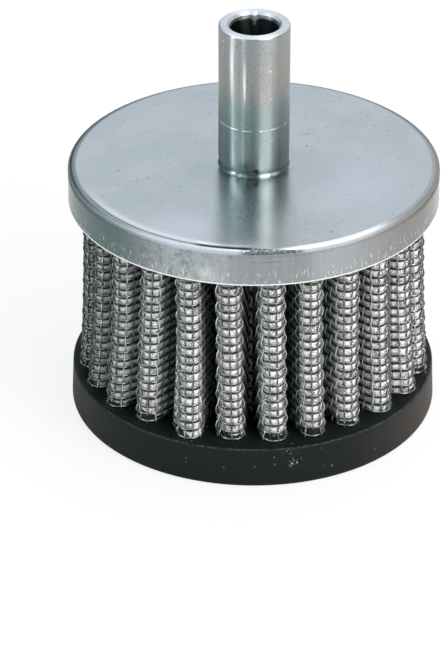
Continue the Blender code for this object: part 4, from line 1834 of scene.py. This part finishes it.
@dataclass
class Studio:
    """Pale floor, plain soft light and the camera."""

    lamps: tuple[SoftLamp, ...] = (
        SoftLamp("overhead", 75.0, 66.0, 1.0, 1.0, 1.0, 1.2, lights=Lights.SHADING),
        SoftLamp("key", 55.0, 30.0, 0.9, 0.5, 0.5, 3.0, (1.0, 0.97, 0.95), Lights.SHADING),
        SoftLamp("thin_strip", -34.0, 7.0, 0.9, 0.035, 0.24, 28.0, lights=Lights.GLEAM),
        SoftLamp("left_strip", -69.0, 7.0, 0.9, 0.07, 0.24, 36.0, (0.97, 0.99, 1.0), Lights.GLEAM),
        SoftLamp("left_box", -58.0, 34.0, 0.9, 0.34, 0.5, 1.2, (0.96, 0.99, 1.0), Lights.GLEAM),
        SoftLamp("right_box", 38.0, 32.0, 0.9, 0.52, 0.6, 4.1, (1.0, 0.99, 0.97)),
        SoftLamp("right_low", 58.0, 2.0, 0.9, 0.36, 0.3, 2.0, (1.0, 0.97, 0.94), Lights.GLEAM),
    )
    lamp_aim: Triple = (0.0, 0.0, 0.03)
    rings: tuple[float, ...] = (3.0, 0.3, 0.05)
    segments: int = 64
    floor_colour: Colour = (0.74, 0.74, 0.74)
    floor_grain: Colour = (0.70, 0.70, 0.70)
    floor_glow: float = 0.82
    base_light: float = 0.13
    behind: Glow = Glow((0.0, 0.866, 0.5), (0.935, 0.968))
    behind_light: float = 0.87
    behind_clear: Glow = Glow((0.0, 0.866, 0.5), (0.85, 0.90))
    left_back: Glow = Glow((-0.66, 0.48, 0.57), (0.86, 0.96), 0.50)
    filled: Glow = Glow((0.15, 0.70, 0.70), (0.90, 0.97))
    filled_from: Span = (-0.10, -0.01)
    filled_to: Span = (0.26, 0.14)
    raised_left: Glow = Glow((-0.28, 0.47, 0.84), (0.95, 0.985))
    raised_left_light: float = 1.4
    raised_right: Glow = Glow((0.17, 0.45, 0.87), (0.93, 0.98), 1.6)
    glows: tuple[Glow, ...] = (
        Glow((-0.50, -0.45, 0.74), (0.75, 0.92), 0.55),
        Glow((0.02, 0.05, 1.0), (0.90, 0.97), 0.75),
        Glow((0.50, -0.20, 0.84), (0.88, 0.96), 0.8),
        Glow((-0.60, 0.15, 0.79), (0.90, 0.97), 0.40),
    )
    right: Span = (-0.05, 0.35)
    right_light: float = 0.10
    left_tone: Colour = (0.84, 0.97, 0.98)
    right_tone: Colour = (1.0, 0.96, 0.93)
    bright_tone: Colour = (0.90, 0.96, 1.0)
    camera_place: Triple = mm(-6.71, -624.7, 383.6)
    camera_aim: Triple = mm(-6.71, -16.43, 25.87)
    lens: float = 195.35
    sensor: float = 36.0
    clip: Span = (0.01, 20.0)

    def zones(self) -> tuple[Zone, ...]:
        """List the lit zones: low on the left, to the right of the back, and in front.

        Returns:
            The zones.
        """
        left_low = Zone({0: (-0.55, -0.80), 2: (0.45, 0.30)}, 0.30)
        right_back = Zone({0: (0.15, 0.40), 1: (0.0, 0.25), 2: (-0.05, 0.10)}, 0.50)
        return left_low, right_back, Zone({1: (0.2, -0.4), 2: (0.95, 0.75)}, 0.34)

    @staticmethod
    def seen_apart(board: Board, kind: str, output: str, glow: float, parts: tuple[Signal, Signal]) -> None:
        """Show the camera something else than what the light meets, and close the shader.

        Args:
            board: The board.
            kind: The type of its output node.
            output: The output node's socket.
            glow: Share of the second shader that the camera sees.
            parts: The shader that the light meets, and the one for the camera.
        """
        seen = board.add("ShaderNodeLightPath").pick("Is Camera Ray")
        shown = board.add("ShaderNodeMixShader", sockets={0: seen * glow, 1: parts[0], 2: parts[1]})
        board.add(kind, sockets={output: shown})

    def floor(self) -> None:
        """Lay a round pale floor that glows to the camera alone, and so keeps a soft shadow."""
        rings = np.array([[radius, 0.0] for radius in self.rings])
        points = ring_points(*revolved(rings, self.segments))
        inner = (len(rings) - 1) * self.segments
        centre = [list(range(inner, inner + self.segments))]
        mesh = bpy.data.meshes.new("floor")
        quads = grid_quads(len(rings), self.segments, True)
        mesh.from_pydata(points.tolist(), [], quads.tolist() + centre)
        material, board = blank("floor_paint")
        grain = board.noise(board.place(), Noise(0.05))
        colour = board.mix(grain * 0.05, self.floor_colour, self.floor_grain)
        paint = board.add("ShaderNodeBsdfDiffuse", sockets={"Color": colour})
        white = board.add("ShaderNodeEmission", sockets={"Color": (*WHITE, 1.0), "Strength": 1.0})
        self.seen_apart(board, "ShaderNodeOutputMaterial", "Surface", self.floor_glow, (paint, white))
        mesh.materials.append(material)
        floor = bpy.data.objects.new("floor", mesh)
        bpy.context.scene.collection.objects.link(floor)

    @staticmethod
    def toward(way: Signal, glow: Glow) -> Signal:
        """Return the light of a soft patch in the direction looked along."""
        return way.board.vector("DOT_PRODUCT", way, glow.way, output=1).rise(glow.cosines) * glow.strength

    @staticmethod
    def within(parts: tuple[Signal, Signal, Signal], zone: Zone) -> Signal | float:
        """Return the light of a zone in the direction looked along.

        Args:
            parts: The direction's three numbers.
            zone: The zone.

        Returns:
            The light.
        """
        light = zone.strength
        for part, span in zone.spans.items():
            light = light * parts[part].rise(span)
        return light

    def light(self, board: Board) -> tuple[Signal, Signal]:
        """Work out the studio's light: bright behind and above, dim on the camera's side.

        Args:
            board: The world's board.

        Returns:
            The light's strength and colour.
        """
        way = board.place("Generated")
        parts = board.parts(way)
        filled = self.toward(way, self.filled)
        filled = filled * parts[0].rise(self.filled_from) * parts[0].rise(self.filled_to)
        behind = board.math("MAXIMUM", self.toward(way, self.behind), filled)
        left_back = self.toward(way, self.left_back) * (1 - self.toward(way, self.behind_clear))
        raised = self.toward(way, self.raised_left)
        raised_right = self.toward(way, self.raised_right)
        right = parts[0].rise(self.right)
        light = self.base_light + behind * self.behind_light + left_back + right * self.right_light
        light = light + board.math("MAXIMUM", raised * self.raised_left_light, raised_right)
        for glow in self.glows:
            light = light + self.toward(way, glow)
        for zone in self.zones():
            light = light + self.within(parts, zone)
        colour = board.mix(right, self.left_tone, self.right_tone)
        return light, board.mix(board.math("MAXIMUM", behind, raised), colour, self.bright_tone)

    def world(self) -> None:
        """Light the studio, and show the camera plain white behind the filter."""
        world = bpy.data.worlds.new("studio")
        bpy.context.scene.world = world
        world.use_nodes = True
        board = Board(world.node_tree)
        light, colour = self.light(board)
        studio = board.add("ShaderNodeBackground", sockets={"Color": colour, "Strength": light})
        white = board.add("ShaderNodeBackground", sockets={"Color": (*WHITE, 1.0), "Strength": 1.0})
        self.seen_apart(board, "ShaderNodeOutputWorld", "Surface", 1.0, (studio, white))

    def lamp(self, lamp: SoftLamp) -> None:
        """Hang a soft lamp that faces the filter.

        Args:
            lamp: The lamp's size, place and light.
        """
        data = bpy.data.lights.new(lamp.name, "AREA")
        data.shape = "RECTANGLE"
        data.size = lamp.width
        data.size_y = lamp.height
        data.energy = lamp.radiance * math.pi * lamp.width * lamp.height
        data.color = lamp.colour
        hung = bpy.data.objects.new(lamp.name, data)
        turn, rise = math.radians(lamp.azimuth), math.radians(lamp.elevation)
        way = Vector((math.sin(turn) * math.cos(rise), -math.cos(turn) * math.cos(rise), math.sin(rise)))
        hung.location = way * lamp.distance + Vector(self.lamp_aim)
        hung.rotation_euler = (-way).to_track_quat("-Z", "Y").to_euler()
        hung.visible_camera = False
        hung.visible_diffuse, hung.visible_glossy = lamp.lights.value
        bpy.context.scene.collection.objects.link(hung)

    def camera(self) -> None:
        """Set the camera at the photograph's view."""
        data = bpy.data.cameras.new("camera")
        data.lens = self.lens
        data.sensor_width = self.sensor
        data.clip_start, data.clip_end = self.clip
        camera = bpy.data.objects.new("camera", data)
        camera.location = self.camera_place
        aim = Vector(self.camera_aim) - Vector(self.camera_place)
        camera.rotation_euler = aim.to_track_quat("-Z", "Y").to_euler()
        bpy.context.scene.collection.objects.link(camera)
        bpy.context.scene.camera = camera

    def build(self) -> None:
        """Set up floor, light and camera."""
        self.floor()
        self.world()
        for lamp in self.lamps:
            self.lamp(lamp)
        self.camera()
        bpy.context.scene.view_settings.view_transform = "Standard"
        LOG.info("studio ready")


def on_cap(middle: Span, reach: Span, share: float, colour: Colour = WHITE, *more: Mask) -> Coat:
    """Return a patch on the cap's flat top, from its middle and half sizes in millimetres.

    Args:
        middle: Its middle, across and in depth.
        reach: Its half sizes.
        share: The share that its colour takes.
        colour: Its colour.
        more: Masks that break it up.

    Returns:
        The patch, a little thicker than the plate.
    """
    height, thickness = CAP_TOP + 0.1 * MM, 0.4 * MM
    return patch((*mm(*middle), height), (*mm(*reach), thickness), share, colour, *more)


TORN = Noise(0.5 * MM, span=(0.3, 0.6))
# Patches of painted reflection, highlight and shade on the cap, and paler tones on its top
CAP_PATCHES = (
    # Pale blue painted reflection on the top's front left, then a paler cool tone on its right
    on_cap((-10, -29), (24, 12), 0.8, (0.62, 0.65, 0.71)),
    on_cap((20, -10), (18, 22), 0.6, (0.58, 0.60, 0.66)),
    # Painted reflection of the tube's highlight, as a bright streak in front of it
    on_cap((5.2, -26), (3.0, 15), 0.8, (0.85, 0.88, 0.93)),
    # Painted shade on the left and right of the tube
    on_cap((-9.0, -2), (10, 15), 0.6, (0.38, 0.43, 0.46)),
    on_cap((11.0, -3), (11, 13), 0.65, (0.40, 0.44, 0.47)),
    # Painted reflection of the tube: a lighter teal part, a white glint and a torn dark part
    on_cap((-5.0, -20), (6, 14), 0.7, (0.66, 0.78, 0.82)),
    on_cap((-3.3, -12), (1.8, 6.5), 0.9),
    on_cap((-2.0, -24), (7.5, 12), 0.30, (0.17, 0.22, 0.24), TORN),
    # A paler front edge of the top, then more of the bright streak's painted reflection
    on_cap((0.0, -35.0), (9, 4), 0.7, (0.85, 0.90, 0.95)),
    on_cap((2.6, -13), (2.7, 11), 1.0),
    on_cap((2.3, -27), (2.9, 16), 1.0),
    # Painted highlight on the skirt's front left
    patch(mm(-9.5, -36.3, 48.2), mm(3.4, 2.6, 3.2), 0.8, (0.75, 0.78, 0.80)),
)
# Patches of painted highlight, reflection and shade on the tube
TUBE_PATCHES = (
    # Painted shade that dims the two bright streaks low down
    patch(mm(-4.6, -5.5, 61), mm(1.3, 1.6, 9), 0.65, (0.10, 0.155, 0.155)),
    patch(mm(-1.9, -6.9, 61), mm(1.1, 1.2, 8.5), 0.55, (0.10, 0.15, 0.15)),
    # Painted highlights: the two bright streaks higher up
    patch(mm(-4.6, -5.5, 78), mm(0.55, 1.2, 10), 0.6, (0.80, 0.82, 0.85)),
    patch(mm(-1.95, -6.9, 74.5), mm(0.45, 1.0, 7), 0.75, (0.90, 0.92, 0.95)),
    # Painted shade at the left and right edges, then a warm painted reflection on the front right
    patch(mm(-6.9, -1.8, 78), mm(1.6, 2.6, 11), 0.5, (0.10, 0.11, 0.11)),
    patch(mm(6.9, -1.8, 78), mm(1.8, 2.6, 11), 0.45, (0.12, 0.11, 0.105)),
    patch(mm(5.0, -5.0, 77), mm(3.0, 4.0, 7), 0.7, (0.36, 0.315, 0.30)),
    # Painted shade on the lower front, the second one torn
    patch(mm(-0.4, -7.1, 66), mm(1.1, 1.0, 9), 0.45, (0.10, 0.12, 0.12)),
    patch(mm(-2.6, -6.7, 66), mm(3.0, 1.8, 5.5), 0.7, (0.085, 0.115, 0.115), TORN),
)


def main() -> None:
    """Build the studio, then each sub-assembly with its finish."""
    logging.basicConfig(level=logging.INFO, format="%(name)s %(message)s")
    Studio().build()
    line = PleatLine()
    mesh = WovenMesh(line)
    # Lit and shaded colours of the wires, as painted light and shade
    crosswise = MeshWire(
        "crosswise_wire_finish", front=(0.60, 0.60, 0.59), side=(0.030, 0.030, 0.030), edge=(0.14, 0.14, 0.14)
    )
    upright = MeshWire("upright_wire_finish", front=(0.30, 0.295, 0.29), side=(0.19, 0.18, 0.18))
    mesh.build(crosswise.material(), upright.material())
    SupportMesh(line, mesh).build(FineScreen().material())
    GauzeSheet(line, mesh).build(CottonGauze().material())
    CastBase(line).build(CastRubber().material())
    DrawnCap().build(CapPlate("cap_plate_finish", patches=CAP_PATCHES).material())
    tube = TubePlate(
        "tube_plate_finish",
        colour=(0.325, 0.345, 0.350),
        warm=(0.37, 0.35, 0.34),
        roughness=0.34,
        turned=0.88,
        nicked=0.8,
        mottled=0.42,
        patches=TUBE_PATCHES,
    )
    VentTube().build(tube.material())
    PackedParts().dress()


if __name__ == "__main__":
    main()
